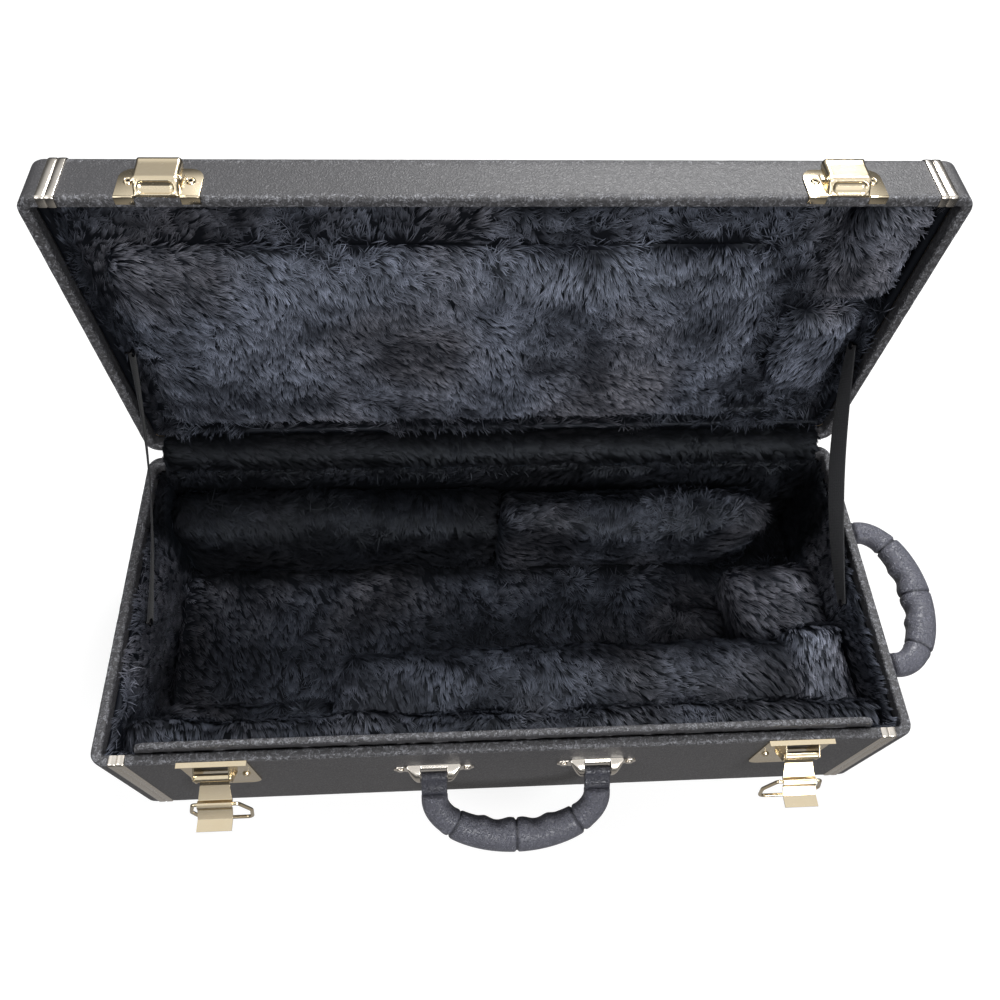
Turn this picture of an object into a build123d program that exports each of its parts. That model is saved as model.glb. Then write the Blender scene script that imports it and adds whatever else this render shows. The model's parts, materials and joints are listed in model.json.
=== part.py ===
"""Trumpet case: an open hard case with a hinged lid, two draw latches, two handles and plush linings.

The origin is the centre of the underside of the base. +X is to the right, +Y towards the hinges and
+Z up. Everything is in millimetres. The lid's pieces are drawn shut and swung open about the hinge
axis just before export, and so are the latch levers about their pins.
"""

from build123d import *
import math
import os

os.makedirs("parts", exist_ok=True)

# Case
case_length = 560
case_depth = 244
base_height = 116
lid_height = 37.6
seam_gap = 0.4
corner_radius = 10
edge_radius = 4
board = 5
skin = 1
turn_in = 10
lid_open_angle = 91

wall = board + 2 * skin
lid_low = base_height + seam_gap
lid_top = lid_low + lid_height
front = -case_depth / 2
back = case_depth / 2
half_length = case_length / 2
wall_inside = front + wall

# Hinges
hinge_count = 3
hinge_pitch = 190
hinge_length = 42
hinge_leaf_height = 19
hinge_leaf = 1.2
knuckle_radius = 2.5
hinge_pin_radius = 1.25
hinge_clearance = 0.06
knuckle_gap = 0.3
hinge_standoff = 0.4
hinge_screw_spacing = 24
hinge_screw_drop = 12

hinge_y = back + hinge_standoff + knuckle_radius
hinge_z = base_height + seam_gap / 2
knuckle_length = hinge_length / 3
hinge_axis = Axis((0, hinge_y, hinge_z), (-1, 0, 0))

# Screws and rivets
screw_head_radius = 2.6
screw_head = 1.1
rivet_head_radius = 2.7
rivet_head = 1.2

# Metal bands over the front walls
band_strip = 5.1
band_groove = 0.4
band_thickness = 0.8
band_inset = 18
band_over_top = 16
band_bottom = edge_radius

# Raised lip inside the front wall
lip_inset = 29
lip_thickness = 5
lip_rise = 10
lip_corner = 9
lip_play = 0.8
lip_nail_radius = 1.1
lip_nail_head = 0.4
lip_nail_inset = 5
lip_nail_pitch = 14

# Linings
lining = 6
pad_radius = 6
bolster_depth = 22
bolster_height = 18
bell_end_length = 143
end_block_length = 46
front_block_depth = 77
front_block_drop = 32
front_shelf_depth = 48
front_shelf_drop = 64
back_block_split = 0
back_block_depth = 40
back_block_drop = 28
back_ridge_reach = 44
back_ridge_depth = 19
back_ridge_drop = 18
back_trough_drop = 38
end_block_depth = 90
end_block_drop = 36
tongue_length = 73
tongue_back_gap = 68
tongue_drop = 58
rest_gap = 4
rest_y = 4
rest_length = 62
rest_width = 34
rest_height = 15
lid_pad_thickness = 18
lid_pad_left_gap = 12
lid_pad_right_gap = 82
lid_pad_front_gap = 40
lid_pad_back_gap = 6
lid_front_pad_length = 50
lid_front_pad_depth = 80
lid_rear_pad_far_gap = 60
lid_rear_pad_near_gap = 14
lid_rear_pad_front_gap = 124
lid_rear_pad_back_gap = 44
pad_margin = 2

lining_floor = skin + board + lining
lining_side = half_length - skin - board - lining
lining_front = front + skin + board + lining
lining_back = -lining_front
lid_lining_face = lid_top - lining_floor
front_block_left = bell_end_length - lining_side
front_block_right = lining_side - end_block_length
front_block_edge = lining_front + front_block_depth
front_block_top = base_height - front_block_drop
front_shelf_edge = lining_front + front_shelf_depth
front_shelf_top = base_height - front_shelf_drop
back_block_edge = lining_back - back_block_depth
back_block_top = base_height - back_block_drop
back_ridge_edge = lining_back - back_ridge_reach
back_ridge_top = base_height - back_ridge_drop
back_trough_top = base_height - back_trough_drop
end_block_edge = lining_front + end_block_depth
end_block_top = base_height - end_block_drop
tongue_left = lining_side - tongue_length
tongue_edge = lining_back - tongue_back_gap
tongue_top = base_height - tongue_drop
rest_x = tongue_left - rest_gap - rest_length / 2
lid_pad_bottom = lid_lining_face - lid_pad_thickness
lid_pad_left = lid_pad_left_gap - lining_side
lid_pad_right = lining_side - lid_pad_right_gap
lid_pad_front = lining_front + lid_pad_front_gap
lid_pad_back = lining_back - lid_pad_back_gap
lid_front_pad_left = lining_side - lid_front_pad_length
lid_front_pad_edge = lining_front + lid_front_pad_depth
lid_rear_pad_left = lining_side - lid_rear_pad_far_gap
lid_rear_pad_right = lining_side - lid_rear_pad_near_gap
lid_rear_pad_front = lining_back - lid_rear_pad_front_gap
lid_rear_pad_back = lining_back - lid_rear_pad_back_gap
band_centre = half_length - band_inset
lip_length = case_length - 2 * lip_inset

# Latches
latch_inset = 80
latch_plate_width = 46
latch_plate_drop = 58
latch_plate = 1
latch_plate_corner = 9
latch_top_drop = 0.3
latch_flange = 3.5
latch_rivet_spacing = 33
latch_rivet_drop = 32
cheek = 1
cheek_out = 10.8
cheek_drop = 26
cheek_window_drop = 22
cheek_side_gap = 0.2

# Latch lever, drawn shut: out is away from the front wall
lever_pin_out = 8.5
lever_pin_drop = 8.5
lever_pin_radius = 1.5
lever_eye_radius = 2.7
lever_clearance = 0.06
lever_sheet = 1
lever_eye_width = 21.8
lever_neck_width = 19.6
lever_panel_width = 22.6
lever_lip_width = 23.2
lever_panel_in = 4.6
lever_panel_top = 6.5
lever_panel_bottom = 17
lever_ridge_in = 1.9
lever_ridge_top = 18.5
lever_ridge_bottom = 21.2
lever_tail_in = 3.4
lever_tail_top = 22.5
lever_tail_bottom = 29.5
lever_lip_out = 1
lever_reach = 36
lever_bend = 0.9
lever_open_angle = 56
lever_pin_head = 0.7
lever_pin_head_radius = 2.2

# Bail, the wire ring that the lever draws over the catch
bail_wire_radius = 1.25
bail_pivot_in = 3.9
bail_pivot_drop = 19.7
bail_pivot_half = 15.2
bail_shoulder_half = 20.4
bail_shoulder_at = 18
bail_end_half = 17
bail_pivot_bend = 2.2
bail_shoulder_bend = 9
bail_end_bend = 5
bail_hang_angle = 88

# Catches on the lid
catch_width = 48
catch_height = 25
catch_plate = 1
catch_corner = 8
catch_edge_drop = 0.3
catch_tab_width = 11
catch_tab_in = 4.5
hook_width = 25
hook_sheet = 1
hook_out = 8.2
hook_ridge_rise = 7.6
hook_free_rise = 24
hook_root_rise = 0.9
hook_flare = 0.6
hook_bend = 1.4
hook_bar_out = 5.9
hook_bar_rise = 9
catch_rivet_spacing = 35
catch_rivet_rise = 13.5

# Handles, all distances taken from the axle in the brackets
handle_pitch = 116
front_handle_x = 4
front_handle_droop = 43
side_handle_droop = 0
handle_axle_out = 6.5
handle_axle_drop = 38
handle_axle_radius = 1.6
handle_eye_radius = 3.4
handle_eye_width = 18
handle_clearance = 0.08
handle_tab_thickness = 4.6
handle_tab_length = 14
handle_arm_width = 18.6
handle_arm_depth = 14.5
handle_grip_width = 22.4
handle_grip_depth = 20
handle_bend = 27
handle_grip_reach = 48.8

# Handle brackets
bracket_plate_length = 57
bracket_plate_width = 15
bracket_plate = 1.2
bracket_leg_foot = 18
bracket_leg_head = 14
bracket_leg_out = 9.6
bracket_leg_gap = 0.3
bracket_leg_width = 12
bracket_hood = 1.2
bracket_hood_out = 3.9
bracket_screw_spacing = 47

# Stay straps
strap_width = 12
strap_thickness = 1.2
strap_inset = 5
strap_base_y = -14
strap_base_drop = 18
strap_lid_reach = 104
strap_lid_depth = 14
strap_sag = 9
strap_tack_radius = 3
strap_tack_head = 1
strap_tack_shank = 0.9
strap_tack_gap = 0.1

# Plush strip over the back rims
cover_thickness = 1.6
cover_gap = 0.5
cover_rise = 7.5
cover_end_gap = 2

latch_plate_bottom = base_height - latch_plate_drop
latch_rivet_z = base_height - latch_rivet_drop
cheek_bottom = base_height - cheek_drop
cheek_window_bottom = base_height - cheek_window_drop
lever_pin_y = front - lever_pin_out
lever_pin_z = base_height - lever_pin_drop
handle_axle_z = base_height - handle_axle_drop
strap_x = lining_side - strap_inset
strap_base_z = base_height - strap_base_drop
bail_closed_out = lever_pin_out - bail_pivot_in
bail_closed_z = lever_pin_z - bail_pivot_drop
hook_bar_z = lid_low + hook_bar_rise
bail_length = math.hypot(hook_bar_out - bail_closed_out, hook_bar_z - bail_closed_z)
latch_places = [latch_inset - half_length, half_length - latch_inset]


def save(builder, label):
    """Label a finished piece and write its file."""
    builder.part.label = label
    export_step(builder.part, "parts/" + label + ".step")


def rounded_box(inset, low, high, round_low=0.0, round_high=0.0):
    """A block with the case's outline drawn in by inset, its lower or upper edges rounded."""
    with BuildPart() as box:
        with BuildSketch(Plane.XY.offset(low)):
            RectangleRounded(case_length - 2 * inset, case_depth - 2 * inset, corner_radius - inset)
        extrude(amount=high - low)
        if round_low:
            fillet(box.faces().sort_by(Axis.Z)[0].edges(), round_low)
        if round_high:
            fillet(box.faces().sort_by(Axis.Z)[-1].edges(), round_high)
    return box.part


def span_box(x, y, z):
    """A block between two values on each axis."""
    with BuildPart(mode=Mode.PRIVATE) as block:
        with BuildSketch(Plane.XY.offset(z[0])):
            with Locations(((x[0] + x[1]) / 2, (y[0] + y[1]) / 2)):
                Rectangle(x[1] - x[0], y[1] - y[0])
        extrude(amount=z[1] - z[0])
    return block.part


def out_and_up(out, z):
    """A point of a front wall profile, from its distance off the wall and its height."""
    return (front - out, z)


def swing_lid(shape):
    """Turn a piece of the shut lid to its open place."""
    return shape.rotate(hinge_axis, lid_open_angle)


def cushion(x, y, z, face):
    """A foam block between two values on each axis, with the edges of its free face rounded."""
    with BuildPart() as block:
        add(span_box(x, y, z))
        fillet(block.faces().sort_by(Axis.Z)[face].edges(), pad_radius)
    return block


# Base: plywood box and its leathercloth covering
with BuildPart() as base_shell:
    add(rounded_box(skin, skin, base_height - skin, round_low=edge_radius - skin))
    add(rounded_box(skin + board, skin + board, base_height), mode=Mode.SUBTRACT)


def band_pair(side, make_strip):
    """The two strips of one band, each drawn by make_strip between two values of X."""
    with BuildPart(mode=Mode.PRIVATE) as pair:
        for step in (-1, 1):
            middle = side * band_centre + step * (band_strip + band_groove) / 2
            add(make_strip(middle - band_strip / 2, middle + band_strip / 2))
    return pair.part


def band_strips(make_strip):
    """The strips of both bands."""
    with BuildPart(mode=Mode.PRIVATE) as strips:
        for side in (-1, 1):
            add(band_pair(side, make_strip))
    return strips.part


def base_strip(x_low, x_high):
    """One strip on the base: down the front wall and in over the rim."""
    rim_y = wall_inside
    with BuildPart(mode=Mode.PRIVATE) as strip:
        add(span_box((x_low, x_high), (front - band_thickness, front), (band_bottom, base_height)))
        add(
            span_box(
                (x_low, x_high),
                (front, rim_y),
                (base_height - band_thickness, base_height),
            )
        )
    return strip.part


def lid_strip(x_low, x_high):
    """One strip on the shut lid: in over the rim, up the front wall and back over the top."""
    with BuildPart(mode=Mode.PRIVATE) as strip:
        with BuildSketch(Plane.YZ.offset(x_low)):
            with BuildLine():
                rim = (wall_inside, lid_low)
                corner = (front - band_thickness, lid_low)
                bend = (front - band_thickness, lid_top - edge_radius)
                over = (front + edge_radius, lid_top + band_thickness)
                tail = (front + band_over_top, lid_top + band_thickness)
                Polyline(rim, corner, bend)
                RadiusArc(bend, over, edge_radius + band_thickness)
                Polyline(over, tail, (tail[0], lid_top), (over[0], lid_top))
                inner = (front, lid_top - edge_radius)
                RadiusArc((over[0], lid_top), inner, -edge_radius)
                Polyline(
                    inner,
                    (front, lid_low + band_thickness),
                    (wall_inside, lid_low + band_thickness),
                    rim,
                )
            make_face()
        extrude(amount=x_high - x_low)
    return strip.part


with BuildPart() as base_covering:
    add(rounded_box(0, 0, base_height, round_low=edge_radius))
    add(
        rounded_box(skin, skin, base_height - skin, round_low=edge_radius - skin),
        mode=Mode.SUBTRACT,
    )
    add(rounded_box(wall, base_height - turn_in, base_height), mode=Mode.SUBTRACT)
    with BuildSketch(Plane.XY.offset(base_height - turn_in)):
        edge = skin + board
        RectangleRounded(case_length - 2 * edge, case_depth - 2 * edge, corner_radius - edge)
        RectangleRounded(
            case_length - 2 * wall,
            case_depth - 2 * wall,
            corner_radius - wall,
            mode=Mode.SUBTRACT,
        )
    extrude(amount=turn_in - skin)
    add(band_strips(base_strip), mode=Mode.SUBTRACT)
save(base_shell, "base_shell")
save(base_covering, "base_covering")

# Lid: plywood tray and its covering
with BuildPart() as lid_shell_shut:
    add(rounded_box(skin, lid_low + skin, lid_top - skin, round_high=edge_radius - skin))
    add(rounded_box(skin + board, lid_low, lid_top - skin - board), mode=Mode.SUBTRACT)
with BuildPart() as lid_shell:
    add(swing_lid(lid_shell_shut.part))
save(lid_shell, "lid_shell")


def catch_rim_tabs(place):
    """The two tabs of a catch that are folded in over the lid's rim."""
    with BuildPart(mode=Mode.PRIVATE) as tabs:
        for side in (-1, 1):
            middle = place + side * (catch_width - catch_tab_width) / 2
            add(
                span_box(
                    (middle - catch_tab_width / 2, middle + catch_tab_width / 2),
                    (front, front + catch_tab_in),
                    (lid_low, lid_low + catch_plate),
                )
            )
    return tabs.part


with BuildPart() as lid_covering_shut:
    add(rounded_box(0, lid_low, lid_top, round_high=edge_radius))
    add(
        rounded_box(skin, lid_low + skin, lid_top - skin, round_high=edge_radius - skin),
        mode=Mode.SUBTRACT,
    )
    add(rounded_box(wall, lid_low, lid_low + turn_in), mode=Mode.SUBTRACT)
    with BuildSketch(Plane.XY.offset(lid_low + skin)):
        RectangleRounded(case_length - 2 * edge, case_depth - 2 * edge, corner_radius - edge)
        RectangleRounded(
            case_length - 2 * wall,
            case_depth - 2 * wall,
            corner_radius - wall,
            mode=Mode.SUBTRACT,
        )
    extrude(amount=turn_in - skin)
    add(band_strips(lid_strip), mode=Mode.SUBTRACT)
    for place in latch_places:
        add(catch_rim_tabs(place), mode=Mode.SUBTRACT)
with BuildPart() as lid_covering:
    add(swing_lid(lid_covering_shut.part))
save(lid_covering, "lid_covering")

# Metal bands, a pair of strips near each end
for label, side in (("left", -1), ("right", 1)):
    with BuildPart() as base_band:
        add(band_pair(side, base_strip))
    save(base_band, "base_band_" + label)
    with BuildPart() as lid_band:
        add(swing_lid(band_pair(side, lid_strip)))
    save(lid_band, "lid_band_" + label)

# Raised lip inside the front wall, with its two nails
with BuildPart() as front_lip:
    with BuildSketch(Plane.XZ.offset(-wall_inside)):
        with Locations((0, base_height + (lip_rise - turn_in) / 2)):
            Rectangle(lip_length, lip_rise + turn_in)
    extrude(amount=-lip_thickness)
    ends = front_lip.edges().filter_by(Axis.Y).group_by(Axis.Z)[-1]
    fillet(ends, lip_corner)
    add(
        span_box(
            (-lip_length / 2, lip_length / 2),
            (wall_inside, wall_inside + lip_play),
            (base_height, base_height + lip_rise),
        ),
        mode=Mode.SUBTRACT,
    )
save(front_lip, "front_lip")

with BuildPart() as lip_nails:
    nail_z = base_height + lip_rise - lip_nail_inset
    for step in (0, 1):
        nail_x = lip_length / 2 - lip_nail_inset - step * lip_nail_pitch
        with BuildSketch(Plane.XZ.offset(-wall_inside - lip_play)):
            with Locations((nail_x, nail_z)):
                Circle(lip_nail_radius)
        extrude(amount=lip_nail_head)
save(lip_nails, "lip_nails")

# Base linings: a lined tray and the plush covered foam blocks on it
with BuildPart() as base_lining:
    add(rounded_box(skin + board, skin + board, base_height - turn_in))
    add(
        span_box(
            (-lining_side, lining_side),
            (lining_front, lining_back),
            (lining_floor, base_height),
        ),
        mode=Mode.SUBTRACT,
    )
save(base_lining, "base_lining")

front_block = cushion(
    (front_block_left, front_block_right),
    (lining_front, front_block_edge),
    (lining_floor, front_block_top),
    -1,
)
save(front_block, "front_block")

front_shelf = cushion(
    (-lining_side, front_block_left),
    (lining_front, front_shelf_edge),
    (lining_floor, front_shelf_top),
    -1,
)
save(front_shelf, "front_shelf")

bolster_low = front_block_top
front_bolster = cushion(
    (-lining_side, lining_side),
    (lining_front, lining_front + bolster_depth),
    (bolster_low, bolster_low + bolster_height),
    -1,
)
save(front_bolster, "front_bolster")

back_block = cushion(
    (-lining_side, back_block_split),
    (back_block_edge, lining_back),
    (lining_floor, back_block_top),
    -1,
)
save(back_block, "back_block")

with BuildPart() as back_ridge:
    add(
        span_box(
            (back_block_split, front_block_right),
            (back_ridge_edge, lining_back),
            (lining_floor, back_trough_top),
        )
    )
    add(
        span_box(
            (back_block_split, front_block_right),
            (back_ridge_edge, back_ridge_edge + back_ridge_depth),
            (back_trough_top, back_ridge_top),
        )
    )
    fillet(back_ridge.faces().sort_by(Axis.Z)[-1].edges(), pad_radius)
save(back_ridge, "back_ridge")

end_block = cushion(
    (front_block_right, lining_side),
    (lining_front, end_block_edge),
    (lining_floor, end_block_top),
    -1,
)
save(end_block, "end_block")

end_tongue = cushion(
    (tongue_left, lining_side),
    (end_block_edge, tongue_edge),
    (lining_floor, tongue_top),
    -1,
)
save(end_tongue, "end_tongue")

with BuildPart() as valve_rest:
    with BuildSketch(Plane.XY.offset(lining_floor)):
        with Locations((rest_x, rest_y)):
            SlotOverall(rest_length, rest_width)
    extrude(amount=rest_height)
    fillet(valve_rest.faces().sort_by(Axis.Z)[-1].edges(), rest_height - pad_margin)
save(valve_rest, "valve_rest")

# Lid linings, drawn shut
with BuildPart() as lid_lining:
    shut_lining = rounded_box(skin + board, lid_low + turn_in, lid_top - skin - board)
    hollow = span_box(
        (-lining_side, lining_side), (lining_front, lining_back), (lid_low, lid_lining_face)
    )
    add(swing_lid(shut_lining - hollow))
save(lid_lining, "lid_lining")


def lid_cushion(x, y):
    """A pad on the lid's lining, rounded on the face that looks into the shut case."""
    return cushion(x, y, (lid_pad_bottom, lid_lining_face), 0)


with BuildPart() as lid_main_pad:
    shut = lid_cushion((lid_pad_left, lid_pad_right), (lid_pad_front, lid_pad_back))
    add(swing_lid(shut.part))
save(lid_main_pad, "lid_main_pad")

with BuildPart() as lid_front_pad:
    shut = lid_cushion(
        (lid_front_pad_left, lining_side), (lining_front + pad_margin, lid_front_pad_edge)
    )
    add(swing_lid(shut.part))
save(lid_front_pad, "lid_front_pad")

with BuildPart() as lid_rear_pad:
    shut = lid_cushion(
        (lid_rear_pad_left, lid_rear_pad_right), (lid_rear_pad_front, lid_rear_pad_back)
    )
    add(swing_lid(shut.part))
save(lid_rear_pad, "lid_rear_pad")


# Hinges
def hinge_x(index):
    """Middle of a hinge along the case."""
    return (index - (hinge_count - 1) / 2) * hinge_pitch


def knuckle(x_low, x_high):
    """One rolled knuckle between two values of X."""
    with BuildPart(mode=Mode.PRIVATE) as roll:
        with BuildSketch(Plane.YZ.offset(x_low)):
            with Locations((hinge_y, hinge_z)):
                Circle(knuckle_radius)
                Circle(hinge_pin_radius + hinge_clearance, mode=Mode.SUBTRACT)
        extrude(amount=x_high - x_low)
    return roll.part


def leaf(index, z_low, z_high, rolls):
    """A hinge leaf on the back wall and its knuckles, each given as two values of X."""
    x = hinge_x(index)
    half = hinge_length / 2
    with BuildPart(mode=Mode.PRIVATE) as plate:
        add(span_box((x - half, x + half), (back, back + hinge_leaf), (z_low, z_high)))
        for low, high in rolls:
            inner = min(z_low, hinge_z)
            outer = max(z_high, hinge_z)
            add(span_box((low, high), (back + hinge_standoff, back + hinge_leaf), (inner, outer)))
            add(knuckle(low, high))
        with BuildSketch(Plane.YZ.offset(x - half)):
            with Locations((hinge_y, hinge_z)):
                Circle(hinge_pin_radius + hinge_clearance)
        extrude(amount=hinge_length, mode=Mode.SUBTRACT)
    return plate.part


leaf_offset = knuckle_radius + knuckle_gap
with BuildPart() as hinge_base_leaves:
    for index in range(hinge_count):
        x = hinge_x(index)
        half = hinge_length / 2
        outer_rolls = [
            (x - half, x - knuckle_length / 2 - knuckle_gap / 2),
            (x + knuckle_length / 2 + knuckle_gap / 2, x + half),
        ]
        top = hinge_z - leaf_offset
        add(leaf(index, top - hinge_leaf_height, top, outer_rolls))
save(hinge_base_leaves, "hinge_base_leaves")

with BuildPart() as hinge_lid_leaves:
    for index in range(hinge_count):
        x = hinge_x(index)
        reach = knuckle_length / 2 - knuckle_gap / 2
        bottom = hinge_z + leaf_offset
        add(swing_lid(leaf(index, bottom, bottom + hinge_leaf_height, [(x - reach, x + reach)])))
save(hinge_lid_leaves, "hinge_lid_leaves")

with BuildPart() as hinge_pins:
    for index in range(hinge_count):
        with BuildSketch(Plane.YZ.offset(hinge_x(index) - hinge_length / 2)):
            with Locations((hinge_y, hinge_z)):
                Circle(hinge_pin_radius)
        extrude(amount=hinge_length)
save(hinge_pins, "hinge_pins")


def button(plane, radius, height):
    """A round head on a plane, with a softened rim."""
    with BuildPart(mode=Mode.PRIVATE) as head:
        with BuildSketch(plane):
            Circle(radius)
        extrude(amount=height)
        fillet(head.faces().sort_by(SortBy.AREA)[-1].edges().group_by(SortBy.LENGTH)[-1], height / 3)
    return head.part


def round_head(origin, outward, radius, height):
    """A screw or rivet head that stands on origin and faces outward."""
    return button(Plane(origin=origin, z_dir=outward), radius, height)


hinge_face = back + hinge_leaf
with BuildPart() as hinge_screws_base:
    for index in range(hinge_count):
        for side in (-1, 1):
            x = hinge_x(index) + side * hinge_screw_spacing / 2
            z = hinge_z - leaf_offset - hinge_screw_drop
            add(round_head((x, hinge_face, z), (0, 1, 0), screw_head_radius, screw_head))
save(hinge_screws_base, "hinge_screws_base")

with BuildPart() as hinge_screws_lid:
    for index in range(hinge_count):
        for side in (-1, 1):
            x = hinge_x(index) + side * hinge_screw_spacing / 2
            z = hinge_z + leaf_offset + hinge_screw_drop
            head = round_head((x, hinge_face, z), (0, 1, 0), screw_head_radius, screw_head)
            add(swing_lid(head))
save(hinge_screws_lid, "hinge_screws_lid")

# Latch plates with their cheeks, pins and rivets
latch_top = base_height - latch_top_drop
cheek_inner = lever_eye_width / 2 + cheek_side_gap


def latch_base(place):
    """The plate on the base: a flange at the rim, two cheeks and a window between them."""
    half = latch_plate_width / 2
    with BuildPart() as plate:
        with BuildSketch(Plane.XZ.offset(-front)):
            with Locations((place, (latch_plate_bottom + latch_top) / 2)):
                Rectangle(latch_plate_width, latch_top - latch_plate_bottom)
        extrude(amount=latch_plate)
        corners = plate.edges().filter_by(Axis.Y).group_by(Axis.Z)[0]
        fillet(corners, latch_plate_corner)
        add(
            span_box(
                (place - half, place + half),
                (front - latch_flange, front),
                (latch_top - latch_plate, latch_top),
            )
        )
        with BuildSketch(Plane.XZ.offset(-front)):
            with Locations((place, (cheek_window_bottom + latch_top - latch_plate) / 2)):
                Rectangle(2 * cheek_inner, latch_top - latch_plate - cheek_window_bottom)
        extrude(amount=latch_plate, mode=Mode.SUBTRACT)
        for side in (-1, 1):
            inner = place + side * (cheek_inner + cheek / 2)
            with BuildSketch(Plane.YZ.offset(inner - cheek / 2)):
                with BuildLine():
                    Polyline(
                        out_and_up(0, cheek_bottom),
                        out_and_up(0, latch_top - latch_plate),
                        out_and_up(latch_flange, latch_top - latch_plate),
                        out_and_up(cheek_out, lever_pin_z + lever_eye_radius),
                        out_and_up(cheek_out, lever_pin_z - 2 * lever_eye_radius),
                        close=True,
                    )
                make_face()
                with Locations(out_and_up(lever_pin_out, lever_pin_z)):
                    Circle(lever_pin_radius, mode=Mode.SUBTRACT)
            extrude(amount=cheek)
    return plate


def lever_pin(place):
    """The pin across the cheeks, with a small head on each end."""
    half = cheek_inner + cheek
    with BuildPart(mode=Mode.PRIVATE) as pin:
        with BuildSketch(Plane.YZ.offset(place - half)):
            with Locations(out_and_up(lever_pin_out, lever_pin_z)):
                Circle(lever_pin_radius)
        extrude(amount=2 * half)
        for start in (place - half - lever_pin_head, place + half):
            with BuildSketch(Plane.YZ.offset(start)):
                with Locations(out_and_up(lever_pin_out, lever_pin_z)):
                    Circle(lever_pin_head_radius)
            extrude(amount=lever_pin_head)
    return pin.part


for label, place in zip(("left", "right"), latch_places):
    save(latch_base(place), "latch_plate_" + label)

with BuildPart() as latch_pins:
    for place in latch_places:
        add(lever_pin(place))
save(latch_pins, "latch_pins")

with BuildPart() as latch_rivets:
    for place in latch_places:
        for side in (-1, 1):
            x = place + side * latch_rivet_spacing / 2
            spot = (x, front - latch_plate, latch_rivet_z)
            add(round_head(spot, (0, -1, 0), rivet_head_radius, rivet_head))
save(latch_rivets, "latch_rivets")

# Latch levers, drawn shut and turned out about their pins
lever_axis = Axis((0, lever_pin_y, lever_pin_z), (-1, 0, 0))


def lever_point(inward, drop):
    """A point of the shut lever, from the pin's centre inwards and down."""
    return out_and_up(lever_pin_out - inward, lever_pin_z - drop)


def lever_shut(place):
    """The stepped lever: an eye, a neck, a panel, the bail's ridge, a tail and a finger lip."""
    root = lever_eye_radius - lever_sheet / 2
    with BuildPart(mode=Mode.PRIVATE) as lever:
        with BuildSketch(Plane.YZ.offset(place - lever_lip_width / 2)) as sheet:
            with BuildLine():
                FilletPolyline(
                    lever_point(root, 0),
                    lever_point(lever_panel_in, lever_panel_top),
                    lever_point(lever_panel_in, lever_panel_bottom),
                    lever_point(lever_ridge_in, lever_ridge_top),
                    lever_point(lever_ridge_in, lever_ridge_bottom),
                    lever_point(lever_tail_in, lever_tail_top),
                    lever_point(lever_tail_in, lever_tail_bottom),
                    lever_point(-lever_lip_out, lever_reach),
                    radius=lever_bend,
                )
            trace(line_width=lever_sheet)
        extrude(amount=lever_lip_width)
        for side in (-1, 1):
            neck_edge = place + side * lever_neck_width / 2
            panel_edge = place + side * lever_panel_width / 2
            far_edge = place + side * lever_lip_width
            with BuildSketch(Plane.XZ.offset(lever_pin_out - front)):
                with BuildLine():
                    Polyline(
                        (neck_edge, lever_pin_z + lever_eye_radius),
                        (neck_edge, lever_pin_z - lever_panel_top),
                        (panel_edge, lever_pin_z - lever_panel_bottom),
                        (far_edge, lever_pin_z - lever_panel_bottom),
                        (far_edge, lever_pin_z + lever_eye_radius),
                        close=True,
                    )
                make_face()
            extrude(amount=lever_reach, both=True, mode=Mode.SUBTRACT)
        with BuildSketch(Plane.YZ.offset(place - lever_eye_width / 2)):
            with Locations(lever_point(0, 0)):
                Circle(lever_eye_radius)
        extrude(amount=lever_eye_width)
        with BuildSketch(Plane.YZ.offset(place - lever_eye_width / 2)):
            with Locations(lever_point(0, 0)):
                Circle(lever_pin_radius + lever_clearance)
        extrude(amount=lever_eye_width, mode=Mode.SUBTRACT)
    return lever.part


for label, place in zip(("left", "right"), latch_places):
    with BuildPart() as lever:
        add(lever_shut(place).rotate(lever_axis, lever_open_angle))
    save(lever, "latch_lever_" + label)

# Bails, hanging from the turned levers
turn = math.radians(lever_open_angle)
bail_rest_out = lever_pin_out - bail_pivot_in * math.cos(turn) + bail_pivot_drop * math.sin(turn)
bail_rest_z = lever_pin_z - bail_pivot_in * math.sin(turn) - bail_pivot_drop * math.cos(turn)
hang = math.radians(bail_hang_angle)


def bail_ring(place):
    """A closed ring of wire: pivot bar, flared shoulders and end bar."""
    down = Vector(0, -math.cos(hang), -math.sin(hang))
    face = Plane(
        origin=(place, front - bail_rest_out, bail_rest_z),
        x_dir=(1, 0, 0),
        z_dir=Vector(1, 0, 0).cross(down),
    )
    corners = {
        0: (bail_pivot_half, bail_pivot_bend),
        bail_shoulder_at: (bail_shoulder_half, bail_shoulder_bend),
        bail_length: (bail_end_half, bail_end_bend),
    }
    with BuildSketch(face) as outline:
        with BuildLine():
            right = [(half, at) for at, (half, bend) in corners.items()]
            left = [(-half, at) for half, at in reversed(right)]
            Polyline(*right, *left, close=True)
        make_face()
        for at, (half, bend) in corners.items():
            for side in (-1, 1):
                fillet(outline.vertices().sort_by_distance((side * half, at))[0], bend)
    wire = outline.sketch.face().outer_wire()
    with BuildPart() as ring:
        with BuildSketch(Plane(origin=wire @ 0, z_dir=wire % 0)):
            Circle(bail_wire_radius)
        sweep(path=wire)
    return ring


for label, place in zip(("left", "right"), latch_places):
    save(bail_ring(place), "latch_bail_" + label)


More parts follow.
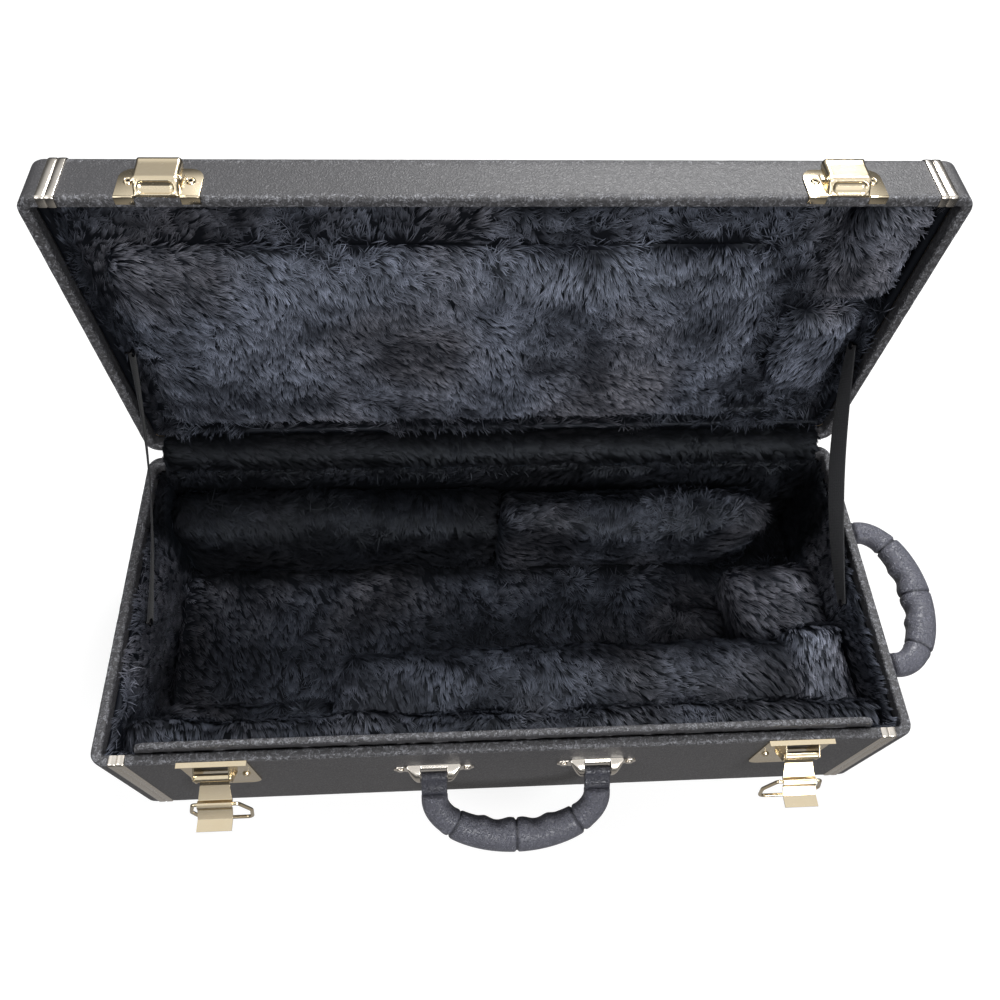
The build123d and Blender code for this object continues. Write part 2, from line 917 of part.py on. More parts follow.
# Catches on the lid, drawn shut
def catch_shut(place):
    """The catch: a plate with two rim tabs and a hook that is open at the top."""
    low = lid_low + catch_edge_drop
    with BuildPart() as catch:
        with BuildSketch(Plane.XZ.offset(-front)):
            with Locations((place, low + catch_height / 2)):
                Rectangle(catch_width, catch_height)
        extrude(amount=catch_plate)
        fillet(catch.edges().filter_by(Axis.Y).group_by(Axis.Z)[-1], catch_corner)
        half = catch_width / 2
        add(
            span_box(
                (place - half, place - half + catch_tab_width),
                (front - catch_plate, front),
                (lid_low, low),
            )
        )
        add(
            span_box(
                (place + half - catch_tab_width, place + half),
                (front - catch_plate, front),
                (lid_low, low),
            )
        )
        add(catch_rim_tabs(place))
        with BuildSketch(Plane.YZ.offset(place - hook_width / 2)):
            with BuildLine():
                FilletPolyline(
                    out_and_up(catch_plate / 2, lid_low + hook_root_rise),
                    out_and_up(hook_out, lid_low + hook_ridge_rise),
                    out_and_up(hook_out + hook_flare, lid_low + hook_free_rise),
                    radius=hook_bend,
                )
            trace(line_width=hook_sheet)
        extrude(amount=hook_width)
    return catch.part


for label, place in zip(("left", "right"), latch_places):
    with BuildPart() as catch:
        add(swing_lid(catch_shut(place)))
    save(catch, "catch_" + label)

with BuildPart() as catch_rivets:
    for place in latch_places:
        for side in (-1, 1):
            x = place + side * catch_rivet_spacing / 2
            spot = (x, front - catch_plate, lid_low + catch_rivet_rise)
            add(swing_lid(round_head(spot, (0, -1, 0), rivet_head_radius, rivet_head)))
save(catch_rivets, "catch_rivets")

# Handles and their brackets, drawn on the front wall around X = 0 with the handle straight out
axle_y = front - handle_axle_out
leg_inner = handle_eye_width / 2 + bracket_leg_gap


def bracket(middle):
    """A saddle bracket: a plate with two ears, two legs and a hood over the handle's end."""
    low = handle_axle_z - bracket_leg_width / 2
    high = handle_axle_z + bracket_leg_width / 2
    with BuildPart(mode=Mode.PRIVATE) as saddle:
        with BuildSketch(Plane.XZ.offset(-front)):
            with Locations((middle, handle_axle_z)):
                SlotOverall(bracket_plate_length, bracket_plate_width)
        extrude(amount=bracket_plate)
        for side in (-1, 1):
            with BuildSketch(Plane.XY.offset(low)):
                with BuildLine():
                    Polyline(
                        (middle + side * leg_inner, front),
                        (middle + side * bracket_leg_foot, front),
                        (middle + side * bracket_leg_head, front - bracket_leg_out),
                        (middle + side * leg_inner, front - bracket_leg_out),
                        close=True,
                    )
                make_face()
            extrude(amount=high - low)
        add(
            span_box(
                (middle - leg_inner, middle + leg_inner),
                (front - bracket_hood_out, front),
                (high - bracket_hood, high),
            )
        )
    return saddle.part


def axle(middle):
    """The axle between a bracket's legs."""
    with BuildPart(mode=Mode.PRIVATE) as rod:
        with BuildSketch(Plane.YZ.offset(middle - leg_inner)):
            with Locations((axle_y, handle_axle_z)):
                Circle(handle_axle_radius)
        extrude(amount=2 * leg_inner)
    return rod.part


def grip():
    """The handle's moulded body: two arms and a thicker grip."""
    half = handle_pitch / 2
    start = axle_y - handle_tab_length
    with BuildPart(mode=Mode.PRIVATE) as body:
        with BuildLine(Plane.XY.offset(handle_axle_z)) as route:
            FilletPolyline(
                (-half, start),
                (-half, axle_y - handle_grip_reach),
                (half, axle_y - handle_grip_reach),
                (half, start),
                radius=handle_bend,
            )
        end_face = Plane((-half, start, handle_axle_z), x_dir=(1, 0, 0), z_dir=(0, -1, 0))
        with BuildSketch(end_face):
            Ellipse(handle_arm_width / 2, handle_arm_depth / 2)
        sweep(path=route.wires()[0])
        with BuildSketch(Plane.YZ.offset(handle_bend - half)):
            with Locations((axle_y - handle_grip_reach, handle_axle_z)):
                Ellipse(handle_grip_width / 2, handle_grip_depth / 2)
        extrude(amount=2 * (half - handle_bend))
    return body.part


def tab(middle):
    """The flat end of the handle, with an eye around the axle."""
    width = handle_eye_width
    with BuildPart(mode=Mode.PRIVATE) as tongue:
        with BuildSketch(Plane.YZ.offset(middle - width / 2)):
            with Locations((axle_y, handle_axle_z)):
                Circle(handle_eye_radius)
            with Locations((axle_y - handle_tab_length / 2, handle_axle_z)):
                Rectangle(handle_tab_length, handle_tab_thickness)
            with Locations((axle_y, handle_axle_z)):
                Circle(handle_axle_radius + handle_clearance, mode=Mode.SUBTRACT)
        extrude(amount=width)
    return tongue.part


def bracket_heads(middle):
    """The two screws of a bracket."""
    with BuildPart(mode=Mode.PRIVATE) as heads:
        for side in (-1, 1):
            x = middle + side * bracket_screw_spacing / 2
            spot = (x, front - bracket_plate, handle_axle_z)
            add(round_head(spot, (0, -1, 0), screw_head_radius, screw_head))
    return heads.part


handle_ends = (-handle_pitch / 2, handle_pitch / 2)
handle_axis = Axis((0, axle_y, handle_axle_z), (-1, 0, 0))


def front_place(shape):
    """Move a piece drawn around X = 0 to the front handle's place."""
    return shape.moved(Location((front_handle_x, 0, 0)))


def side_place(shape):
    """Turn a piece drawn on the front wall round to the right end wall."""
    return shape.rotate(Axis.Z, 90).moved(Location((half_length + front, 0, 0)))


for label, droop, put in (
    ("front", front_handle_droop, front_place),
    ("side", side_handle_droop, side_place),
):
    with BuildPart() as brackets:
        for middle in handle_ends:
            add(put(bracket(middle)))
    save(brackets, label + "_handle_brackets")
    with BuildPart() as axles:
        for middle in handle_ends:
            add(put(axle(middle)))
    save(axles, label + "_handle_axles")
    with BuildPart() as screws:
        for middle in handle_ends:
            add(put(bracket_heads(middle)))
    save(screws, label + "_handle_screws")
    with BuildPart() as handle:
        add(put(grip().rotate(handle_axis, -droop)))
    save(handle, label + "_handle_grip")
    with BuildPart() as tabs:
        for middle in handle_ends:
            add(put(tab(middle).rotate(handle_axis, -droop)))
    save(tabs, label + "_handle_tabs")


def swung(y, z):
    """The place of a point of the shut lid once the lid is open."""
    turn = math.radians(lid_open_angle)
    dy = y - hinge_y
    dz = z - hinge_z
    return (
        hinge_y + dy * math.cos(turn) + dz * math.sin(turn),
        hinge_z - dy * math.sin(turn) + dz * math.cos(turn),
    )


# Stay straps between the base and the open lid, with the tacks that hold their ends
strap_lid_y, strap_lid_z = swung(hinge_y - strap_lid_reach, lid_low + strap_lid_depth)
strap_run = math.hypot(strap_lid_y - strap_base_y, strap_lid_z - strap_base_z)
sag_y = (strap_base_y + strap_lid_y) / 2 + strap_sag * (strap_lid_z - strap_base_z) / strap_run
sag_z = (strap_base_z + strap_lid_z) / 2 - strap_sag * (strap_lid_y - strap_base_y) / strap_run

strap_ends = ((strap_base_y, strap_base_z), (strap_lid_y, strap_lid_z))
for label, side in (("left", -1), ("right", 1)):
    with BuildPart() as strap:
        with BuildSketch(Plane.YZ.offset(side * strap_x - strap_thickness / 2)):
            with BuildLine():
                ThreePointArc(strap_ends[0], (sag_y, sag_z), strap_ends[1])
            trace(line_width=strap_width)
            with Locations(*strap_ends):
                Circle(strap_tack_radius)
                Circle(strap_tack_shank + strap_tack_gap, mode=Mode.SUBTRACT)
        extrude(amount=strap_thickness)
    save(strap, "stay_strap_" + label)

for label, (tack_y, tack_z) in zip(("base", "lid"), strap_ends):
    with BuildPart() as tacks:
        for side in (-1, 1):
            head_face = side * (strap_x - strap_thickness / 2)
            seat = Plane(origin=(side * lining_side, tack_y, tack_z), z_dir=(-side, 0, 0))
            with BuildSketch(seat):
                Circle(strap_tack_shank)
            extrude(amount=lining_side - abs(head_face))
            add(round_head((head_face, tack_y, tack_z), (-side, 0, 0), strap_tack_radius, strap_tack_head))
    save(tacks, "strap_tacks_" + label)

# Plush strip that bridges the back rims inside the hinges
cover_half = lining_side - cover_end_gap
cover_y = back - wall - cover_gap - cover_thickness / 2
cover_start = base_height - turn_in
cover_turn = cover_start + cover_rise
with BuildPart() as hinge_cover:
    with BuildSketch(Plane.YZ.offset(-cover_half)):
        with BuildLine():
            Line((cover_y, cover_start), (cover_y, cover_turn))
            TangentArc(
                (cover_y, cover_turn), swung(cover_y, 2 * hinge_z - cover_turn), tangent=(0, 1)
            )
            Line(swung(cover_y, 2 * hinge_z - cover_turn), swung(cover_y, 2 * hinge_z - cover_start))
        trace(line_width=cover_thickness)
    extrude(amount=2 * cover_half)
save(hinge_cover, "hinge_cover")
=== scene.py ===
"""Trumpet case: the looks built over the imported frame.

The file is laid out as an add-on and run as a script. Lengths are in metres, or in millimetres where
they are multiplied by MM. +X is to the right, +Y from the latches to the hinges, +Z up, and the lid is
open as at rest.
Pieces of the lid are drawn shut and swung open about the hinges, as in the part's source.
"""

import json
import math

import bmesh
import bpy
import numpy as np
from bpy.props import FloatProperty, FloatVectorProperty, IntProperty, PointerProperty
from mathutils import Matrix, Vector, noise


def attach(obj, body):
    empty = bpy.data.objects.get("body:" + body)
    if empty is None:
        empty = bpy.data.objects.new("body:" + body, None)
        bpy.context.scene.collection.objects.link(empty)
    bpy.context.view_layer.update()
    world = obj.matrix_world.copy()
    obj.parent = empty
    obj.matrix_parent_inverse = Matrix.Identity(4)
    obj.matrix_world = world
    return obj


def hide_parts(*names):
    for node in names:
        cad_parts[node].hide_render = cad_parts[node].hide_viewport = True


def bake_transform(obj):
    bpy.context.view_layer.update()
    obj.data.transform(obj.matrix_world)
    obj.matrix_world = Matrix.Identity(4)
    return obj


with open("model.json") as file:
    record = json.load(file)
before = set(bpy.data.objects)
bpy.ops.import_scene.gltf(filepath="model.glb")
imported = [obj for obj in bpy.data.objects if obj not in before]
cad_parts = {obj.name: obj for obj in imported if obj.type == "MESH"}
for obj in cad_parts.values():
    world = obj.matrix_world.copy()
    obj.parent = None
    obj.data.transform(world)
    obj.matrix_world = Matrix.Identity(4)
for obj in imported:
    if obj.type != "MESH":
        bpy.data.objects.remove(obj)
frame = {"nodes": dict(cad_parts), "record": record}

bl_info = {
    "name": "Trumpet case",
    "version": (1, 0, 0),
    "blender": (4, 5, 0),
    "location": "3D view, sidebar, Case",
    "description": "Plush lined hard case for a trumpet, with its latches, handles and stay straps",
    "category": "Object",
}

MM = 0.001

# Sizes of the part's source that the pieces follow
HALF_X = 280 * MM
HALF_Y = 122 * MM
RIM = 116 * MM
LID_LOW = 116.4 * MM
LID_TOP = 154 * MM
CORNER = 10 * MM
FOLD = 7 * MM
INSIDE_X = 268 * MM
INSIDE_Y = 110 * MM
HINGE_Y = 124.9 * MM
HINGE_Z = 116.2 * MM
OPEN = math.radians(91)
BAND_X = 262 * MM
LATCH_X = 200 * MM
FRONT_AXLE = (4 * MM, -128.5 * MM, 78 * MM)
FRONT_DROOP = math.radians(43)
LEVER_PIN = (0, -130.5 * MM, 107.5 * MM)
SIDE_SHIFT = 158 * MM
HANDLE_POST = 58.0  # millimetres from a handle's middle


# Settings that a user would change
class CaseSizes(bpy.types.PropertyGroup):
    """Sizes of the covering and its folds."""

    rim_round: FloatProperty(
        name="Rim rounding",
        description="Radius of the covering's fold over the rims",
        default=2 * MM,
        subtype="DISTANCE",
    )
    wrinkle: FloatProperty(
        name="Rim wrinkles",
        description="Height of the wrinkles in the folded covering",
        default=0.22 * MM,
        subtype="DISTANCE",
    )
    station: FloatProperty(
        name="Mesh step",
        description="Distance between the covering's points along the walls",
        default=3.2 * MM,
        subtype="DISTANCE",
    )


class PlushLook(bpy.types.PropertyGroup):
    """The pile of the plush linings."""

    length: FloatProperty(
        name="Pile length", description="Length of one lock of pile", default=11 * MM, subtype="DISTANCE"
    )
    width: FloatProperty(
        name="Lock width", description="Width of one lock at its root", default=0.75 * MM, subtype="DISTANCE"
    )
    density: FloatProperty(
        name="Density", description="Locks of pile per square metre", default=980000.0
    )
    clump: FloatProperty(
        name="Clump size",
        description="Size of the clumps that locks lean into",
        default=6 * MM,
        subtype="DISTANCE",
    )
    seed: IntProperty(name="Seed", description="Seed of the pile's scatter", default=7)
    root: FloatVectorProperty(
        name="Root colour", description="Colour deep in the pile", subtype="COLOR", default=(
            0.002, 0.0023, 0.0036
        )
    )
    tip: FloatVectorProperty(
        name="Tip colour", description="Colour of the pile's tips", subtype="COLOR", default=(
            0.225, 0.25, 0.32
        )
    )


class FinishLook(bpy.types.PropertyGroup):
    """Colours of the covering, the metal and the handles."""

    covering: FloatVectorProperty(
        name="Covering", description="Colour of the leathercloth", subtype="COLOR", default=(
            0.056, 0.055, 0.059
        )
    )
    # pale colour of the rims' edges: partly rubbed with use, partly painted glints
    worn_glint: FloatVectorProperty(
        name="Worn covering", description="Colour of the worn edges", subtype="COLOR", default=(
            0.33, 0.335, 0.365
        )
    )
    nickel: FloatVectorProperty(
        name="Nickel", description="Colour of the plated metal", subtype="COLOR", default=(0.79, 0.75, 0.7)
    )
    champagne: FloatVectorProperty(
        name="Latch plating", description="Colour of the latches' plating", subtype="COLOR", default=(
            0.84, 0.73, 0.54
        )
    )
    handle: FloatVectorProperty(
        name="Handles", description="Colour of the moulded handles", subtype="COLOR", default=(
            0.106, 0.108, 0.134
        )
    )


# Node trees written as expressions
def arithmetic(operation, swapped=False):
    """A method that adds a Math node with the wire and, where there is one, another value."""

    def method(self, other=None):
        first, second = (other, self) if swapped else (self, other)
        return self.book.node("ShaderNodeMath", {"operation": operation}, {0: first, 1: second})

    return method


class Wire:
    """A node's output that takes part in ordinary arithmetic."""

    __add__ = __radd__ = arithmetic("ADD")
    __sub__ = arithmetic("SUBTRACT")
    __rsub__ = arithmetic("SUBTRACT", swapped=True)
    __mul__ = __rmul__ = arithmetic("MULTIPLY")
    __rtruediv__ = arithmetic("DIVIDE", swapped=True)
    __pow__ = arithmetic("POWER")
    sine = arithmetic("SINE")
    cosine = arithmetic("COSINE")
    least = arithmetic("MINIMUM")
    most = arithmetic("MAXIMUM")

    def __init__(self, book, socket):
        self.book = book
        self.socket = socket

    def at(self, name):
        """Another output of the same node."""
        return Wire(self.book, self.book.find(self.socket.node.outputs, name))

    def held(self):
        """The value kept between 0 and 1."""
        return self.book.node("ShaderNodeClamp", {}, {"Value": self})


class Book:
    """Adds nodes to one tree."""

    def __init__(self, tree):
        self.tree = tree

    def node(self, kind, settings, values, out=0):
        """One node: its settings first, then the values or links of its sockets."""
        made = self.tree.nodes.new(kind)
        for key, value in settings.items():
            setattr(made, key, value)
        for key, value in values.items():
            if value is None:
                continue
            socket = made.inputs[key] if isinstance(key, int) else self.find(made.inputs, key)
            if isinstance(value, Wire):
                self.tree.links.new(value.socket, socket)
            else:
                socket.default_value = value
        target = made.outputs[out] if isinstance(out, int) else self.find(made.outputs, out)
        return Wire(self, target)

    @staticmethod
    def find(sockets, key):
        """The socket with this identifier, or else with this name."""
        for socket in sockets:
            if socket.identifier == key:
                return socket
        for socket in sockets:
            if socket.name == key:
                return socket
        raise KeyError(key)

    def mix(self, factor, a, b):
        """A colour between a and b."""
        return self.node(
            "ShaderNodeMix",
            {"data_type": "RGBA"},
            {"Factor_Float": factor, "A_Color": paint(a), "B_Color": paint(b)},
            "Result_Color",
        )

    def vector(self, operation, a, b=None, scale=None):
        """Vector arithmetic."""
        out = "Value" if operation in ("DOT_PRODUCT", "LENGTH") else "Vector"
        return self.node("ShaderNodeVectorMath", {"operation": operation}, {0: a, 1: b, "Scale": scale}, out)

    def noise(self, scale, detail, roughness, at, distortion=0.0):
        """Smooth noise from 0 to 1."""
        return self.node(
            "ShaderNodeTexNoise",
            {},
            {
                "Vector": at,
                "Scale": scale,
                "Detail": detail,
                "Roughness": roughness,
                "Distortion": distortion,
            },
            "Fac",
        )

    def cells(self, scale, feature, at, smoothness):
        """Distance to the nearest of scattered cells."""
        return self.node(
            "ShaderNodeTexVoronoi",
            {"feature": feature},
            {"Vector": at, "Scale": scale, "Smoothness": smoothness},
            "Distance",
        )

    def span(self, value, low, high, to_low=0.0, to_high=1.0):
        """The value's range low to high carried to another range, and held there."""
        return self.node(
            "ShaderNodeMapRange",
            {},
            {"Value": value, "From Min": low, "From Max": high, "To Min": to_low, "To Max": to_high},
            "Result",
        )


def paint(colour):
    """A colour with its alpha, or a link left as it is."""
    return colour if isinstance(colour, Wire) else (*colour[:3], 1.0)


def finish(name):
    """A new material with its nodes cleared, and its book."""
    made = bpy.data.materials.new(name)
    made.use_nodes = True
    made.node_tree.nodes.clear()
    return made, Book(made.node_tree)


def close(book, values):
    """Ends a material in one Principled shader."""
    for key in ("Base Color", "Sheen Tint", "Specular Tint", "Emission Color"):
        if key in values:
            values[key] = paint(values[key])
    shader = book.node("ShaderNodeBsdfPrincipled", {}, values)
    wire_out(book, shader)


def wire_out(book, shader):
    """Links a shader to the material's output."""
    end = book.tree.nodes.new("ShaderNodeOutputMaterial")
    book.tree.links.new(shader.socket, end.inputs["Surface"])


def place_of(book):
    """The point's place on its own object."""
    return book.node("ShaderNodeTexCoord", {}, {}, "Object")


def attribute(book, name):
    """A number stored on the mesh."""
    return book.node("ShaderNodeAttribute", {"attribute_name": name}, {}, "Fac")


def bump(book, height, distance, strength):
    """A normal from a height."""
    return book.node(
        "ShaderNodeBump", {}, {"Height": height, "Distance": distance, "Strength": strength}, "Normal"
    )


def leathercloth():
    """Black grained leathercloth with pale edges on the rims, partly rubbed with use and partly painted
    glints on the wrinkle ridges; its pebble tops are lightened, partly as a painted highlight.
    """
    look = bpy.context.scene.case_finish
    made, book = finish("leathercloth")
    at = place_of(book)
    drift = book.node("ShaderNodeTexNoise", {}, {"Vector": at, "Scale": 160.0, "Detail": 2.0}, "Color")
    bent = book.vector("ADD", at, book.vector("SCALE", drift, scale=0.0035))
    pebble = book.cells(820.0, "SMOOTH_F1", bent, 0.25)
    crease = book.noise(330.0, 5.0, 0.62, bent, 1.2)
    fine = book.noise(2600.0, 2.0, 0.5, at)
    broad = book.noise(7.0, 3.0, 0.5, at)
    wear = attribute(book, "wear")
    dots = book.span(pebble, 0.12, 0.62, 1.0, 0.0)
    ridges = book.span(crease, 0.44, 0.66)
    # pale rims: the wrinkle ridges of the folded edges are lightened, partly rubbed with use and partly
    # painted glints
    rub_and_glint = (wear * (0.1 + ridges * 1.5)).held()
    shade = book.mix((broad * 0.9).held(), look.covering, tuple(c * 0.6 for c in look.covering))
    # the pebble tops are lightened: the grain's own tone, partly a painted highlight
    shade = book.mix((dots * (0.2 + ridges * 0.6)).held(), shade, tuple(c * 1.7 for c in look.covering))
    shade = book.mix((rub_and_glint * rub_and_glint * (0.3 + dots * 0.7)).held(), shade, look.worn_glint)
    rough = (0.5 - dots * 0.14 + broad * 0.08 - rub_and_glint * 0.1).held()
    height = dots * (0.25 + wear * 0.3) + ridges * (0.2 + wear * 0.8) + fine * 0.06
    close(
        book,
        {
            "Base Color": shade,
            "Roughness": rough,
            "Specular IOR Level": 0.5,
            "Normal": bump(book, height, 0.45 * MM, 0.8),
        },
    )
    return made


def plated(name, base):
    """Plated steel with faint tarnish, pitting and brushing; rivet centres marked hollow are painted dark,
    standing in for the shade inside them.
    """
    made, book = finish(name)
    at = place_of(book)
    cloud = book.noise(60.0, 4.0, 0.6, at)
    speck = book.noise(900.0, 3.0, 0.6, at)
    pits = book.span(speck, 0.66, 0.78)
    base = tuple(base)
    dull = (base[0] * 0.84, base[1] * 0.8, base[2] * 0.72)
    colour = book.mix((cloud * 0.8).held(), base, dull)
    colour = book.mix((pits * 0.45).held(), colour, (0.3, 0.25, 0.19))
    # hollow marks the open centres of the rivet heads; they are painted dark, standing in for the shade
    # inside the holes
    hollow = attribute(book, "hollow")
    colour = book.mix(hollow, colour, (0.012, 0.01, 0.008))
    rough = (0.13 + cloud * 0.14 + pits * 0.3 + hollow * 0.5).held()
    wave = book.noise(45.0, 2.0, 0.5, at)
    height = speck * 0.15 + wave
    close(
        book,
        {
            "Base Color": colour,
            "Metallic": 1.0,
            "Roughness": rough,
            "Normal": bump(book, height, 0.12 * MM, 0.5),
        },
    )
    return made


def handle_plastic():
    """Dark blue grey plastic with a moulded leather grain whose tops are lightened as painted glints; the
    grooves are darkened with painted shade, and the strap ends are darkened too.
    """
    look = bpy.context.scene.case_finish
    made, book = finish("handle plastic")
    at = place_of(book)
    drift = book.node("ShaderNodeTexNoise", {}, {"Vector": at, "Scale": 300.0, "Detail": 2.0}, "Color")
    bent = book.vector("ADD", at, book.vector("SCALE", drift, scale=0.002))
    pebble = book.cells(760.0, "SMOOTH_F1", bent, 0.2)
    crease = book.noise(430.0, 4.0, 0.65, bent, 1.4)
    broad = book.noise(25.0, 3.0, 0.5, at)
    fold = attribute(book, "fold")
    tops = book.span(crease, 0.47, 0.62)
    dots = book.span(pebble, 0.1, 0.6, 1.0, 0.0)
    grain = (tops * (0.35 + dots * 0.65)).held()
    colour = book.mix((broad * 0.7).held(), look.handle, tuple(c * 0.6 for c in look.handle))
    # painted glints: the grain's tops lightened
    colour = book.mix((grain * 0.75).held(), colour, tuple(c * 2.6 for c in look.handle))
    # the fold mask darkens the colour: painted shade in the grip's grooves, and a darker tone on the strap
    # ends
    colour = book.mix((fold * 0.9).held(), colour, (0.006, 0.007, 0.013))
    rough = (0.38 - grain * 0.16 + broad * 0.06).held()
    close(
        book,
        {
            "Base Color": colour,
            "Roughness": rough,
            "Specular IOR Level": 0.6,
            "Normal": bump(book, grain, 0.7 * MM, 1.0),
        },
    )
    return made


def plush():
    """Blue black pile, dark at the root and lighter at the tip, with painted sheen in broad patches and a
    stored factor of painted light and shade.
    """
    look = bpy.context.scene.case_plush
    made, book = finish("plush")
    at = place_of(book)
    tip = attribute(book, "tip")
    tone = attribute(book, "tone")
    # painted sheen: broad patches that lighten or darken the pile, standing in for where its sheen catches
    # the light
    painted_sheen = book.span(book.noise(27.0, 4.0, 0.65, at), 0.38, 0.64, 0.25, 1.15)
    tint = book.noise(9.0, 2.0, 0.5, at)
    warm = (look.tip[0] * 1.05, look.tip[1] * 0.95, look.tip[2] * 0.86)
    ends = book.mix(book.span(tint, 0.45, 0.62), look.tip, warm)
    ends = book.mix(book.span(tone, 0.2, 1.05), tuple(c * 0.25 for c in look.tip), ends)
    lift = (tip ** 1.7 * painted_sheen).held()
    # the stored lit factor is painted light and shade: it brightens the pile where it is lit and darkens it
    # where it lies in shade
    colour = book.vector("SCALE", book.mix(lift, look.root, ends), scale=attribute(book, "lit"))
    rough = (0.56 - tip * 0.12 + tone * 0.08).held()
    close(
        book,
        {
            "Base Color": colour,
            "Roughness": rough,
            "Specular IOR Level": 0.22,
            "Specular Tint": (0.8, 0.88, 1.0),
            "Sheen Weight": 0.05,
            "Sheen Roughness": 0.3,
            "Sheen Tint": (0.6, 0.75, 1.0),
        },
    )
    return made


def tape():
    """Black woven tape."""
    made, book = finish("woven tape")
    uv = book.node("ShaderNodeUVMap", {"uv_map": "run"}, {})
    parts = book.node("ShaderNodeSeparateXYZ", {}, {"Vector": uv})
    along = parts.at("Y")
    across = parts.at("X")
    ribs = (along * 5200.0).sine() * 0.5 + 0.5
    cords = (across * 4200.0).sine() * 0.5 + 0.5
    weave = (ribs * 0.6 + cords * 0.4).held()
    fuzz = book.noise(500.0, 3.0, 0.6, place_of(book))
    colour = book.mix((weave * 0.6 + fuzz * 0.4).held(), (0.003, 0.003, 0.004), (0.022, 0.023, 0.027))
    close(
        book,
        {
            "Base Color": colour,
            "Roughness": (0.75 + fuzz * 0.15).held(),
            "Sheen Weight": 0.15,
            "Normal": bump(book, weave + fuzz * 0.4, 0.25 * MM, 0.7),
        },
    )
    return made


def plywood():
    """Raw plywood, seen only where the covering leaves it bare."""
    made, book = finish("plywood")
    at = place_of(book)
    grain = book.node(
        "ShaderNodeTexNoise", {}, {
            "Vector": book.vector("MULTIPLY", at, (8.0, 90.0, 90.0)), "Scale": 3.0, "Detail": 5.0
        }
    )
    ply = book.node("ShaderNodeTexWave", {}, {"Vector": at, "Scale": 130.0, "Distortion": 0.4}, "Fac")
    colour = book.mix((grain * 0.8 + ply * 0.2).held(), (0.5, 0.36, 0.21), (0.72, 0.56, 0.37))
    close(book, {"Base Color": colour, "Roughness": 0.75, "Normal": bump(book, grain, 0.2 * MM, 0.5)})
    return made


MAKERS = {
    "leathercloth": leathercloth,
    "nickel": lambda: plated("nickel", bpy.context.scene.case_finish.nickel),
    "champagne": lambda: plated("champagne nickel", bpy.context.scene.case_finish.champagne),
    "black tacks": lambda: plated("black tacks", (0.02, 0.02, 0.022)),
    "handle": handle_plastic,
    "plush": plush,
    "tape": tape,
    "plywood": plywood,
}


def material(name):
    """The finish of that name, made once."""
    made = dict(bpy.context.scene.get("case_materials") or {})
    if name not in made:
        made[name] = MAKERS[name]().name
        bpy.context.scene["case_materials"] = made
    return bpy.data.materials[made[name]]


# Meshes
def swing(points):
    """Carries points of the shut lid to the open lid."""
    out = np.array(points, float)
    dy = out[:, 1] - HINGE_Y
    dz = out[:, 2] - HINGE_Z
    out[:, 1] = HINGE_Y + dy * math.cos(OPEN) + dz * math.sin(OPEN)
    out[:, 2] = HINGE_Z - dy * math.sin(OPEN) + dz * math.cos(OPEN)
    return out


def swing_direction(vectors):
    """Turns directions of the shut lid to the open lid."""
    out = np.array(vectors, float)
    y, z = out[:, 1].copy(), out[:, 2].copy()
    out[:, 1] = y * math.cos(OPEN) + z * math.sin(OPEN)
    out[:, 2] = -y * math.sin(OPEN) + z * math.cos(OPEN)
    return out


def new_mesh(name, points, faces, smooth=True):
    """An object in the scene with this mesh."""
    mesh = bpy.data.meshes.new(name)
    mesh.from_pydata([tuple(map(float, p)) for p in points], [], [tuple(map(int, f)) for f in faces])
    mesh.validate()
    if smooth:
        mesh.shade_smooth()
    made = bpy.data.objects.new(name, mesh)
    bpy.context.scene.collection.objects.link(made)
    return made


def store(obj, name, values, kind="FLOAT"):
    """Keeps one value per vertex on the mesh."""
    made = obj.data.attributes.get(name) or obj.data.attributes.new(name, kind, "POINT")
    key = "vector" if kind == "FLOAT_VECTOR" else "value"
    made.data.foreach_set(key, np.asarray(values, np.float32).ravel())


def settle(obj):
    """Applies the object's modifiers to its mesh."""
    bpy.context.view_layer.update()
    graph = bpy.context.evaluated_depsgraph_get()
    mesh = bpy.data.meshes.new_from_object(
        obj.evaluated_get(graph), preserve_all_data_layers=True, depsgraph=graph
    )
    old = obj.data
    obj.modifiers.clear()
    obj.data = mesh
    bpy.data.meshes.remove(old)
    mesh.name = obj.name
    return obj


def soften(obj, width):
    """Rounds the sharp edges and shades the result smooth."""
    edge = obj.modifiers.new("rounding", "BEVEL")
    edge.width = width
    edge.segments = 2
    edge.limit_method = "ANGLE"
    edge.angle_limit = math.radians(35)
    settle(obj)
    obj.data.shade_smooth()


def points_of(obj):
    """The mesh's points as an array."""
    out = np.empty(len(obj.data.vertices) * 3, np.float32)
    obj.data.vertices.foreach_get("co", out)
    return out.reshape(-1, 3).astype(float)


def normals_of(obj):
    """The mesh's vertex normals as an array."""
    out = np.empty(len(obj.data.vertices) * 3, np.float32)
    obj.data.vertex_normals.foreach_get("vector", out)
    return out.reshape(-1, 3).astype(float)


def set_points(obj, points):
    """Moves the mesh's points to these places."""
    obj.data.vertices.foreach_set("co", np.asarray(points, np.float32).ravel())
    obj.data.update()


def field(points, scale, seed):
    """Smooth noise from -1 to 1 at each point."""
    move = Vector((seed * 13.7, seed * 5.1, seed * 9.3))
    return np.array([noise.noise(Vector(p) * scale + move) for p in points])


def dress(obj, body, finish_name, *nodes):
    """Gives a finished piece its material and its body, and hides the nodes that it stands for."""
    obj.data.name = obj.name
    obj.data.materials.clear()
    obj.data.materials.append(material(finish_name))
    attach(obj, body)
    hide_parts(*nodes)


